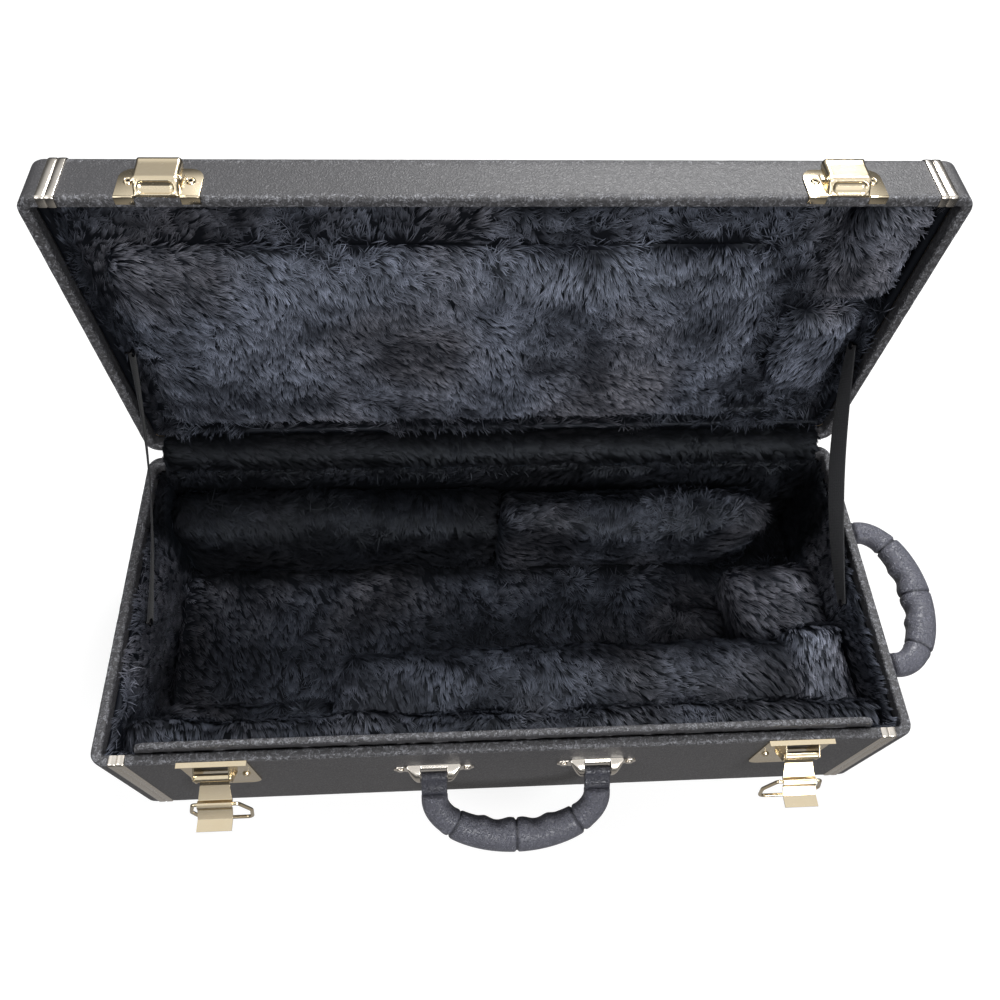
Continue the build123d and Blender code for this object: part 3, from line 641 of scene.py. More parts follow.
def loft(rings, closed=True):
    """Points and faces of rings joined into a capped tube, or of rows joined into an open sheet."""
    rings = np.asarray(rings, float)
    count, around = rings.shape[:2]
    faces = []
    for i in range(count - 1):
        for j in range(around if closed else around - 1):
            k = (j + 1) % around
            faces.append((i * around + j, i * around + k, (i + 1) * around + k, (i + 1) * around + j))
    if closed:
        faces.append(tuple(range(around - 1, -1, -1)))
        faces.append(tuple(range((count - 1) * around, count * around)))
    return rings.reshape(-1, 3), faces


def arc(centre, radius, start, end, steps):
    """Points on an arc, in degrees, as (inset or out, height)."""
    return [
        (centre[0] + radius * math.cos(math.radians(a)), centre[1] + radius * math.sin(math.radians(a)))
        for a in np.linspace(start, end, steps)
    ]


# The covering of the base and the lid
def stations(step, marks):
    """Points of the outline's inner rectangle with their outward directions, from the front left round."""
    sx, sy = HALF_X - CORNER, HALF_Y - CORNER
    xs = sorted(
        set(np.round(np.linspace(-sx, sx, int(2 * sx / step)), 6)) | {m for m in marks if abs(m) < sx}
    )
    ys = np.linspace(-sy, sy, int(2 * sy / step))
    rows = [(x, -sy, 0, -1) for x in xs]
    turn = np.radians(np.linspace(-90, 0, 9)[1:-1])
    rows += [(sx, -sy, math.cos(a), math.sin(a)) for a in turn]
    rows += [(sx, y, 1, 0) for y in ys]
    rows += [(sx, sy, -math.sin(a), math.cos(a)) for a in turn]
    rows += [(x, sy, 0, 1) for x in reversed(xs)]
    rows += [(-sx, sy, -math.cos(a), -math.sin(a)) for a in turn]
    rows += [(-sx, y, -1, 0) for y in reversed(ys)]
    rows += [(-sx, -sy, math.sin(a), -math.cos(a)) for a in turn]
    return np.array(rows, float)


def outline_ring(rows, inset, z):
    """The outline drawn in by inset at one height."""
    radius = max(CORNER - inset, 1 * MM)
    fx = (HALF_X - inset - radius) / (HALF_X - CORNER)
    fy = (HALF_Y - inset - radius) / (HALF_Y - CORNER)
    return np.column_stack(
        (rows[:, 0] * fx + rows[:, 2] * radius, rows[:, 1] * fy + rows[:, 3] * radius, np.full(len(rows), z))
    )


def covered(name, profile, wrinkled, recess):
    """A skin swept round the outline along a profile of (inset, z), closed at both ends."""
    sizes = bpy.context.scene.case_sizes
    marks = []
    for low, high, *_ in recess:
        marks += [low - 0.2 * MM, low, high, high + 0.2 * MM]
    rows = stations(sizes.station, marks)
    profile = np.array(profile)
    run = np.gradient(profile, axis=0)
    run /= np.maximum(np.linalg.norm(run, axis=1, keepdims=True), 1e-9)
    rings = []
    wear = []
    for k, (inset, z) in enumerate(profile):
        ring = outline_ring(rows, inset, z)
        strength = wrinkled[k]
        if strength:
            out_way, up_way = run[k, 1], run[k, 0]
            bumps = field(ring, 190.0, 1.0) * 0.6 + field(ring, 420.0, 2.0) * 0.4
            bumps *= strength * sizes.wrinkle
            ring[:, 0] += rows[:, 2] * bumps * out_way
            ring[:, 1] += rows[:, 3] * bumps * out_way
            ring[:, 2] += bumps * up_way
        for low, high, deepest, depth, side in recess:
            facing = (ring[:, 0] > low - 0.1 * MM) & (ring[:, 0] < high + 0.1 * MM) & (rows[:, 3] < -0.99)
            if strength and inset < deepest and side * (z - side_level(side)) > -1.2 * MM:
                ring[facing, 2] -= side * depth
        rings.append(ring)
        wear.append(np.full(len(rows), strength))
    points, faces = loft(rings)
    made = new_mesh(name, points, faces)
    # the mask of the rims' pale edges, partly rubbed with use and partly painted glints; it also sets the
    # wrinkles
    store(made, "wear", np.concatenate(wear))
    return made


def side_level(side):
    """The height of the rim that faces up (side 1) or down (side -1)."""
    return RIM if side > 0 else LID_LOW


def stretches(*parts):
    """One profile and its mask of pale edges, from stretches of points with the mask's value for each; the
    pale edges are partly rubbed with use and partly painted glints.
    """
    return [p for points, _ in parts for p in points], [wear for points, wear in parts for _ in points]


def band_recess(side):
    """Where the covering lies lower under the bands, on the base (side 1) or the lid (side -1)."""
    return [(s * BAND_X - 5.5 * MM, s * BAND_X + 5.5 * MM, 7.1 * MM, 0.8 * MM, side) for s in (-1, 1)]


class BaseCovering(bpy.types.Operator):
    """Make the leathercloth over the base, folded in over its rim"""

    bl_idname = "trumpet_case.base_covering"
    bl_label = "Base covering"

    def execute(self, context):
        r = context.scene.case_sizes.rim_round
        hidden = ((6.05, 106), (6.05, 114.9), (1.05, 114.9), (1.05, 4), (4, 1.05), (119.9, 1.05))
        # the second number of each stretch weighs its wrinkles and its pale edges, which are partly painted
        # glints
        profile, wear = stretches(
            ([(119.9 * MM, 0), (60 * MM, 0)], 0),
            ([(20 * MM, 0)], 0.1),
            ([(8 * MM, 0)], 0.3),
            (arc((4 * MM, 4 * MM), 4 * MM, 270, 180, 6), 0.45),
            ([(0, z) for z in np.linspace(9 * MM, RIM - r - 3 * MM, 17)], 0.12),
            (arc((r, RIM - r), r, 180, 90, 6), 1.0),
            ([(inset, RIM) for inset in np.linspace(r + 0.6 * MM, FOLD - r, 4)], 0.7),
            (arc((FOLD - r, RIM - r), r, 75, 0, 5), 1.0),
            ([(FOLD, z * MM) for z in (112.5, 110.5, 108, 106.2)], 0.35),
            ([(inset * MM, z * MM) for inset, z in hidden], 0),
        )
        made = covered("base_covering_skin", profile, wear, band_recess(1))
        dress(made, "base", "leathercloth", "base_covering")
        return {"FINISHED"}


class LidCovering(bpy.types.Operator):
    """Make the leathercloth over the lid, folded in over its rim"""

    bl_idname = "trumpet_case.lid_covering"
    bl_label = "Lid covering"

    def execute(self, context):
        r = context.scene.case_sizes.rim_round
        hidden = ((119.9, 152.95), (4, 152.95), (1.05, 150), (1.05, 117.5), (6.05, 117.5), (6.05, 126.3))
        # the second number of each stretch weighs its wrinkles and its pale edges, which are partly painted
        # glints
        profile, wear = stretches(
            ([(inset * MM, z * MM) for inset, z in hidden], 0),
            ([(FOLD, z * MM) for z in (126.2, 124, 122, 120)], 0.35),
            (arc((FOLD - r, LID_LOW + r), r, 0, -75, 5), 1.0),
            ([(inset, LID_LOW) for inset in np.linspace(FOLD - r, r + 0.6 * MM, 4)], 0.7),
            (arc((r, LID_LOW + r), r, 270, 180, 6), 1.0),
            ([(0, z) for z in np.linspace(LID_LOW + r + 3 * MM, LID_TOP - 9 * MM, 6)], 0.12),
            (arc((4 * MM, LID_TOP - 4 * MM), 4 * MM, 180, 90, 6), 0.5),
            ([(8 * MM, LID_TOP)], 0.3),
            ([(20 * MM, LID_TOP)], 0.1),
            ([(60 * MM, LID_TOP), (119.9 * MM, LID_TOP)], 0),
        )
        recess = band_recess(-1)
        for middle in [s * LATCH_X + t * 18.5 * MM for s in (-1, 1) for t in (-1, 1)]:
            recess.append((middle - 5.6 * MM, middle + 5.6 * MM, 4.6 * MM, 1.05 * MM, -1))
        made = covered("lid_covering_skin", profile, wear, recess)
        set_points(made, swing(points_of(made)))
        dress(made, "lid", "leathercloth", "lid_covering")
        return {"FINISHED"}


# The metal bands
BAND_SECTION = [
    (-5.3, 0.02), (-5.15, 0.5), (-4.85, 0.72), (-2.75, 0.8), (-0.75, 0.72), (-0.4, 0.5), (0.0, 0.22),
    (0.4, 0.5), (0.75, 0.72), (2.75, 0.8), (4.85, 0.72), (5.15, 0.5), (5.3, 0.02),
]


def band(name, side, path, swung, node, body):
    """A double strip of metal along a path of (y, z), standing off it."""
    path = np.array(path)
    run = np.gradient(path, axis=0)
    run /= np.linalg.norm(run, axis=1, keepdims=True)
    away = np.column_stack((-run[:, 1], run[:, 0]))
    rings = []
    for (y, z), (ay, az) in zip(path, away):
        top = [
            (side * BAND_X + x * MM, y - ay * (0.8 - h) * MM, z - az * (0.8 - h) * MM)
            for x, h in BAND_SECTION
        ]
        low = [
            (side * BAND_X + x * MM, y - ay * 0.85 * MM, z - az * 0.85 * MM) for x in (4.0, 0.0, -4.0)
        ]
        rings.append(top + low)
    points, faces = loft(rings)
    if swung:
        points = swing(points)
    made = new_mesh(name, points, faces)
    recalculate(made)
    dress(made, body, "nickel", node)
    made.data.set_sharp_from_angle(angle=math.radians(40))
    return made


def recalculate(obj):
    """Points the faces of a closed mesh outward."""
    work = bmesh.new()
    work.from_mesh(obj.data)
    bmesh.ops.remove_doubles(work, verts=work.verts, dist=1e-7)
    bmesh.ops.recalc_face_normals(work, faces=work.faces)
    work.to_mesh(obj.data)
    work.free()
    obj.data.update()


class Bands(bpy.types.Operator):
    """Make the double metal strips over the front walls"""

    bl_idname = "trumpet_case.bands"
    bl_label = "Metal bands"

    def execute(self, context):
        for side, word in ((-1, "left"), (1, "right")):
            y = -122.8
            base = [(y, 4.2), (y, 8), (y, 40), (y, 80), (y, 108)]
            base += arc((-120.8, 114), 2, 180, 90, 6) + [(-118, 116), (-115.6, 116), (-115.1, 115.3)]
            band(f"base_band_{word}_strips", side, np.array(base) * MM, False, f"base_band_{word}", "base")
            lid = [(-115.1, 117.1), (-115.6, 116.4), (-118, 116.4)] + arc((-120.8, 118.4), 2, 270, 180, 6)
            lid += [(y, 125), (y, 140)] + arc((-118, 150), 4.8, 180, 90, 8) + [(-112, 154.8), (-106.2, 154.8)]
            path = np.array(lid) * MM
            band(f"lid_band_{word}_strips", side, path, True, f"lid_band_{word}", "lid")
        return {"FINISHED"}


class FrontLip(bpy.types.Operator):
    """Make the covered lip that stands inside the front wall"""

    bl_idname = "trumpet_case.front_lip"
    bl_label = "Front lip"

    def execute(self, context):
        half, thick, low, high, corner = 251 * MM, 4.4 * MM, 106 * MM, 125.7 * MM, 9 * MM
        middle = -112.2 * MM
        xs = np.concatenate(
            (np.linspace(-half, -half + corner, 9), np.linspace(-half + corner, half - corner, 200)[1:-1],
             np.linspace(half - corner, half, 9))
        )
        rings = []
        wear = []
        for x in xs:
            d = half - abs(x)
            drop = corner - math.sqrt(max(corner**2 - max(corner - d, 0) ** 2, 0.0))
            top = high - drop
            r = min(2.1 * MM, (top - low) / 3)
            ring = [(-thick / 2, low), (-thick / 2, low + 6 * MM), (-thick / 2, low + 9 * MM)]
            worn_glint = [0, 0, 0.2]
            for k in np.linspace(0.45, 0.9, 3):
                ring.append((-thick / 2, low + (top - r - low) * k))
                worn_glint.append(0.25)
            for y, z in arc((-thick / 2 + r, top - r), r, 180, 90, 5) + arc(
                (thick / 2 - r, top - r), r, 90, 0, 5
            ):
                ring.append((y, z))
                worn_glint.append(1.0)
            ring += [(thick / 2, low + 8 * MM), (thick / 2, low)]
            worn_glint += [0.2, 0]
            rings.append([(x, middle + y, z) for y, z in ring])
            wear += worn_glint
        points, faces = loft(rings)
        wear = np.array(wear)
        ruck = field(points, 150.0, 3.0) * 0.55 + field(points, 400.0, 4.0) * 0.45
        shift = ruck * wear * 0.3 * MM
        inner = points[:, 1] > middle
        points[:, 1] += np.where(inner, shift, -np.abs(shift) * 0.2)
        points[:, 2] += np.where(wear > 0.9, -np.abs(shift), 0)
        made = new_mesh("front_lip_strip", points, faces)
        # pale lip edges, partly rubbed with use and partly painted glints
        store(made, "wear", wear)
        dress(made, "base", "leathercloth", "front_lip")
        return {"FINISHED"}


# Plush linings
def block(lo, hi, radius, up=1, step=6 * MM):
    """A closed block whose free face looks up or down, with rounded free and upright edges."""
    lo, hi = np.array(lo, float), np.array(hi, float)
    count = np.maximum(np.round((hi - lo) / step).astype(int), 2)
    axes = [np.linspace(lo[k], hi[k], count[k] + 1) for k in range(3)]
    points, faces = [], []
    for k in range(3):
        u, v = [(1, 2), (2, 0), (0, 1)][k]
        for end in (0, 1):
            gu, gv = np.meshgrid(axes[u], axes[v], indexing="ij")
            grid = np.empty((*gu.shape, 3))
            grid[..., u], grid[..., v], grid[..., k] = gu, gv, (lo, hi)[end][k]
            start = sum(len(p) for p in points)
            points.append(grid.reshape(-1, 3))
            nu, nv = gu.shape
            for i in range(nu - 1):
                for j in range(nv - 1):
                    q = [
                        start + i * nv + j,
                        start + (i + 1) * nv + j,
                        start + (i + 1) * nv + j + 1,
                        start + i * nv + j + 1,
                    ]
                    faces.append(q if end else q[::-1])
    points = np.concatenate(points)
    inner_lo, inner_hi = lo + radius, hi - radius
    if up > 0:
        inner_lo[2] = lo[2] - 1
    else:
        inner_hi[2] = hi[2] + 1
    core = np.clip(points, inner_lo, np.maximum(inner_hi, inner_lo))
    away = points - core
    length = np.linalg.norm(away, axis=1, keepdims=True)
    points = core + away / np.maximum(length, 1e-9) * np.minimum(length, radius)
    _, first, where = np.unique(np.round(points, 7), axis=0, return_index=True, return_inverse=True)
    return points[first], [[int(where.ravel()[i]) for i in f] for f in faces]


def joined(shapes):
    """Several (points, faces) as one."""
    points, faces, start = [], [], 0
    for p, f in shapes:
        points.append(np.asarray(p))
        faces += [[i + start for i in q] for q in f]
        start += len(p)
    return np.concatenate(points), faces


def clean_faces(faces):
    """Faces without repeated corners."""
    out = []
    for f in faces:
        kept = [i for n, i in enumerate(f) if i != f[n - 1]]
        if len(set(kept)) > 2:
            out.append(kept)
    return out


def remesh(obj, size):
    """One even skin around closed forms."""
    made = obj.modifiers.new("even skin", "REMESH")
    made.mode = "VOXEL"
    made.voxel_size = size
    return settle(obj)


def swell(obj, held, cap):
    """Blows the foam's skin up a little by a cloth simulation; held is 1 where the skin is glued down."""
    rest = points_of(obj)
    group = obj.vertex_groups.new(name="held")
    for i, weight in enumerate(held):
        group.add([i], float(weight), "REPLACE")
    sim = obj.modifiers.new("skin", "CLOTH")
    sim.settings.quality = 4
    sim.settings.mass = 0.3
    sim.settings.tension_stiffness = 8
    sim.settings.compression_stiffness = 8
    sim.settings.bending_stiffness = 0.4
    sim.settings.use_pressure = True
    sim.settings.uniform_pressure_force = 4.0
    sim.settings.vertex_group_mass = "held"
    sim.settings.effector_weights.gravity = 0
    sim.collision_settings.use_collision = False
    sim.point_cache.frame_start = 1
    sim.point_cache.frame_end = 20
    scene = bpy.context.scene
    for f in range(1, 21):
        scene.frame_set(f)
    settle(obj)
    obj.vertex_groups.clear()
    now = points_of(obj)
    scene.frame_set(1)
    move = now - rest
    size = np.linalg.norm(move, axis=1, keepdims=True)
    limit = np.minimum(size, cap)
    set_points(obj, rest + move / np.maximum(size, 1e-9) * limit)


def inside(points, boxes):
    """True where a point lies in any of the boxes."""
    hit = np.zeros(len(points), bool)
    for lo, hi in boxes:
        hit |= np.all((points > np.array(lo) * MM) & (points < np.array(hi) * MM), axis=1)
    return hit


def free_surface(obj, own, boxes):
    """1 where the skin looks into the open hollow, 0 where it lies on a box that isn't its own."""
    points = points_of(obj)
    ahead = points + normals_of(obj) * 4 * MM
    others = [b for name, b in boxes.items() if name not in own]
    return 1.0 - inside(ahead, others).astype(float)


def new_tree(name, inputs, output):
    """A Geometry Nodes tree with these inputs and one output; a number as an input's kind is its default."""
    tree = bpy.data.node_groups.new(name, "GeometryNodeTree")
    for word, kind in inputs.items():
        number = isinstance(kind, (int, float))
        sort = ("Int" if isinstance(kind, int) else "Float") if number else kind
        socket = tree.interface.new_socket(name=word, in_out="INPUT", socket_type="NodeSocket" + sort)
        if number:
            socket.default_value = kind
    tree.interface.new_socket(name=output, in_out="OUTPUT", socket_type="NodeSocketGeometry")
    return tree


def run_tree(obj, tree, values):
    """Runs a tree on the object with these inputs and keeps the result as its mesh."""
    grown = obj.modifiers.new("grown", "NODES")
    grown.node_group = tree
    for item in tree.interface.items_tree:
        if item.item_type == "SOCKET" and item.in_out == "INPUT" and item.name in values:
            grown[item.identifier] = values[item.name]
    settle(obj)


def stored(book, name, kind="FLOAT"):
    """A value kept on the mesh's points."""
    return book.node("GeometryNodeInputNamedAttribute", {"data_type": kind}, {"Name": name}, "Attribute")


def keep(book, geometry, name, value):
    """Keeps a number on the points of a geometry."""
    return book.node(
        "GeometryNodeStoreNamedAttribute",
        {"data_type": "FLOAT", "domain": "POINT"},
        {"Geometry": geometry, "Name": name, "Value": value},
    )


def strewn(book, points, piece, turn, size):
    """Pieces on points, as real faces shaded smooth."""
    placed = book.node(
        "GeometryNodeInstanceOnPoints", {}, {
            "Points": points, "Instance": piece, "Rotation": turn, "Scale": size
        }
    )
    real = book.node("GeometryNodeRealizeInstances", {}, {"Geometry": placed})
    return book.node("GeometryNodeSetShadeSmooth", {}, {"Geometry": real})


def end_tree(book, geometry, finish_input):
    """Ends a tree in Set Material."""
    last = book.node("GeometryNodeSetMaterial", {}, {"Geometry": geometry, "Material": finish_input})
    book.tree.links.new(last.socket, book.tree.nodes.new("NodeGroupOutput").inputs[0])


def one_lock(book):
    """One lock of pile: a thin curved leaf that narrows to its tip."""
    leaf = book.node(
        "GeometryNodeMeshGrid", {}, {"Size X": 1.0, "Size Y": 1.0, "Vertices X": 2, "Vertices Y": 3}, "Mesh"
    )
    spot = book.node("GeometryNodeInputPosition", {}, {})
    parts = book.node("ShaderNodeSeparateXYZ", {}, {"Vector": spot})
    t = parts.at("Y") + 0.5
    shape = book.node(
        "ShaderNodeCombineXYZ",
        {},
        {"X": parts.at("X") * (1 - t ** 2.2), "Y": t * t * 0.42, "Z": t - t * t * 0.1},
    )
    marked = keep(book, leaf, "tip", t)
    bent = book.node("GeometryNodeSetPosition", {}, {"Geometry": marked, "Position": shape})
    return book.node("GeometryNodeMergeByDistance", {}, {"Geometry": bent, "Distance": 0.001})


def wander(book, here, scale):
    """A direction that wanders over the skin."""
    tone = book.node("ShaderNodeTexNoise", {}, {"Vector": here, "Scale": scale, "Detail": 1.0}, "Color")
    return book.vector("SUBTRACT", tone, (0.5, 0.5, 0.5))


def clumps(book, here, ripple, width):
    """Parts the skin into clumps about this wide: each clump's own colour, and the way to its middle."""
    warped = book.vector("ADD", here, book.vector("SCALE", ripple, scale=0.008))
    parted = book.node(
        "ShaderNodeTexVoronoi", {"feature": "F1"}, {"Vector": warped, "Scale": 1.0 / width}, "Distance"
    )
    fate = book.node("FunctionNodeSeparateColor", {}, {"Color": parted.at("Color")})
    return fate, book.vector("SUBTRACT", parted.at("Position"), warped)


def combed(book, out, ways):
    """The comb's direction with each (way, amount) added, laid flat on the skin whose normal is out."""
    pull = stored(book, "comb", "FLOAT_VECTOR")
    for way, amount in ways:
        pull = book.vector("ADD", pull, book.vector("SCALE", way, scale=amount))
    rise = book.vector("DOT_PRODUCT", pull, out)
    return book.vector("NORMALIZE", book.vector("SUBTRACT", pull, book.vector("SCALE", out, scale=rise)))


def pile_tree():
    """The Geometry Nodes tree that grows locks of pile from a skin."""
    known = bpy.data.node_groups.get("plush pile")
    if known:
        return known
    numbers = {"Density": 500000.0, "Length": 0.009, "Width": 0.001, "Clump": 0.007, "Stand": 0.5, "Seed": 1}
    tree = new_tree("plush pile", {"Skin": "Geometry", **numbers, "Finish": "Material"}, "Plush")
    book = Book(tree)
    given = book.node("NodeGroupInput", {}, {}, "Skin")
    wanted = {name: given.at(name) for name in (*numbers, "Finish")}
    spread = book.node(
        "GeometryNodeDistributePointsOnFaces",
        {"distribute_method": "RANDOM"},
        {"Mesh": given, "Density": wanted["Density"] * stored(book, "pile"), "Seed": wanted["Seed"]},
        "Points",
    )
    out = spread.at("Normal")
    here = book.node("GeometryNodeInputPosition", {}, {})
    swirl, ripple, tuft = (wander(book, here, scale) for scale in (9.0, 48.0, 150.0))
    fate, centre = clumps(book, here, ripple, wanted["Clump"])
    jitter = book.node(
        "FunctionNodeRandomValue",
        {"data_type": "FLOAT_VECTOR"},
        {"Min": (-0.5, -0.5, -0.5), "Max": (0.5, 0.5, 0.5), "Seed": wanted["Seed"]},
        "Value",
    )
    chance = book.node(
        "FunctionNodeRandomValue",
        {"data_type": "FLOAT"},
        {"Min_001": 0.0, "Max_001": 1.0, "Seed": 5},
        "Value_001",
    )
    flat = combed(book, out, ((swirl, 3.2), (ripple, 2.6), (tuft, 1.5), (centre, 70.0), (jitter, 0.5)))
    mound = book.node("ShaderNodeTexNoise", {}, {"Vector": here, "Scale": 120.0, "Detail": 1.0}, 0)
    stand = wanted["Stand"] * (0.1 + mound * 1.1 + fate.at("Red") * 0.4 + chance * 0.25)
    turn = book.node(
        "FunctionNodeAxesToRotation",
        {"primary_axis": "Z", "secondary_axis": "Y"},
        {
            "Primary Axis": book.vector("ADD", flat, book.vector("SCALE", out, scale=stand)),
            "Secondary Axis": flat,
        },
    )
    long = wanted["Length"] * stored(book, "nap") * (0.55 + fate.at("Green") * 0.4 + chance * 0.45)
    wide = wanted["Width"] * (0.6 + chance * 0.8)
    size = book.node("ShaderNodeCombineXYZ", {}, {"X": wide, "Y": long, "Z": long})
    toned = keep(book, spread, "tone", fate.at("Blue") * 0.35 + mound * 0.5 + chance * 0.4)
    drawn = book.node(
        "GeometryNodeSetPosition", {}, {"Geometry": toned, "Offset": book.vector("SCALE", centre, scale=0.4)}
    )
    both = book.node("GeometryNodeJoinGeometry", {}, {})
    for part in (strewn(book, drawn, one_lock(book), turn, size), given):
        tree.links.new(part.socket, both.socket.node.inputs[0])
    end_tree(book, both, wanted["Finish"])
    return tree


def grow(obj, pile, comb, nap, lit, density=1.0, clump=1.0, stand=0.5):
    """Grows pile on a skin and makes one plain mesh of both.

    Each point of the skin has a share of pile, a direction to comb it, a nap (its length) and a painted
    light: a factor on the pile's colour that stands in for light and shade.
    """
    count = len(obj.data.vertices)
    store(obj, "pile", pile)
    store(obj, "nap", np.broadcast_to(nap, count))
    # lit is painted light and shade, kept as a factor on the pile's colour
    store(obj, "lit", np.broadcast_to(lit, count))
    store(obj, "comb", comb, "FLOAT_VECTOR")
    look = bpy.context.scene.case_plush
    run_tree(
        obj,
        pile_tree(),
        {
            "Density": look.density * density,
            "Length": look.length,
            "Width": look.width,
            "Clump": look.clump * clump,
            "Stand": stand,
            "Seed": look.seed,
            "Finish": material("plush"),
        },
    )


def lined(obj, body, node, pile, comb, nap, lit, clump=1.0, stand=0.5):
    """Finishes one lining: pile on its free surface, its material and body, and hides the node that it stands
    for.
    """
    grow(obj, pile, comb, nap, lit, clump=clump, stand=stand)
    dress(obj, body, "plush", node)


BASE_BLOCKS = {
    "front_block": ((-125, -110, 12), (222, -33, 84)),
    "front_shelf": ((-268, -110, 12), (-125, -62, 52)),
    "front_bolster": ((-268, -110, 84), (268, -88, 102)),
    "back_block": ((-268, 70, 12), (0, 110, 88)),
    "back_ridge": ((0, 66, 12), (222, 110, 78)),
    "ridge_bar": ((0, 66, 70), (222, 85, 98)),
    "end_block": ((222, -110, 12), (268, -20, 80)),
    "end_tongue": ((195, -20, 12), (268, 42, 58)),
    "valve_rest": ((129, -13, 10), (191, 21, 24)),
}
# painted light and shade on each block's pile: low on the back block, which the open lid shades, and high on
# the blocks at the right end, which catch the light
PAINTED_LIGHT = {
    "front_block": 1.55, "front_shelf": 1.2, "front_bolster": 1.2, "back_block": 0.2, "back_ridge": 0.95,
    "end_block": 2.8, "end_tongue": 2.9, "valve_rest": 2.2,
}
BASE_WALLS = {
    "floor": ((-300, -130, -10), (300, 130, 12.5)),
    "left": ((-300, -130, -10), (-267, 130, 105)),
    "right": ((267, -130, -10), (300, 130, 105)),
    "front": ((-300, -130, -10), (300, -109, 105)),
    "back": ((-300, 109, -10), (300, 130, 105)),
}
LID_BLOCKS = {
    "lid_main_pad": ((-256, -70, 124), (186, 104, 142)),
    "lid_front_pad": ((218, -108, 124), (268, -30, 142)),
    "lid_rear_pad": ((208, -14, 124), (254, 66, 142)),
}
LID_WALLS = {
    "top": ((-300, -130, 141.5), (300, 130, 160)),
    "left": ((-300, -130, 127), (-267, 130, 160)),
    "right": ((267, -130, 127), (300, 130, 160)),
    "front": ((-300, -130, 127), (300, -109, 160)),
    "back": ((-300, 109, 127), (300, 130, 160)),
}


def foam(lo, hi, radius, up=1, shrink=0.0, step=6.0):
    """A block's closed form from its box in millimetres."""
    lo = np.array(lo, float) * MM
    hi = np.array(hi, float) * MM
    if up > 0:
        hi[2] -= shrink * MM
    else:
        lo[2] += shrink * MM
    points, faces = block(lo, hi, radius * MM, up, step * MM)
    return points, clean_faces(faces)


def short_by_walls(points):
    """Shorter pile close to the side walls, so that no lock reaches through them."""
    shortest, reach = 0.35, 10
    gap = np.minimum(INSIDE_X - np.abs(points[:, 0]), INSIDE_Y - np.abs(points[:, 1])) / MM
    return np.clip(shortest + gap / reach, shortest, 1.0)


GLUED_DEPTH = 3.5 * MM


def tray_form(name, profile, blocks, buried):
    """A lined tray swept along (inset, z) in millimetres; buried says which heights lie behind it.

    Returns the object, its points and normals, and 1 where its skin looks into the open hollow.
    """
    rows = stations(9 * MM, [])
    made = new_mesh(name, *loft([outline_ring(rows, inset * MM, z * MM) for inset, z in profile]))
    recalculate(made)
    points, normal = points_of(made), normals_of(made)
    glued = (np.abs(points[:, :2]) > np.array((INSIDE_X, INSIDE_Y)) + GLUED_DEPTH).any(axis=1)
    open_way = ~inside(points + normal * 6 * MM, blocks) & ~glued & ~buried(points[:, 2])
    return made, points, normal, open_way.astype(float)


def lumps(obj, free, amount, seed):
    """Presses soft dents and crowns into the free surface."""
    points = points_of(obj)
    broad, small, sideways = 17.0, 38.0, 22.0
    push = field(points, broad, seed) * 0.7 + field(points, small, seed + 1) * 0.3
    moved = points + normals_of(obj) * (push * free * amount * MM)[:, None]
    for axis in (0, 1):
        moved[:, axis] += field(points, sideways, seed + 5 + axis) * free * amount * 1.3 * MM
    set_points(obj, moved)


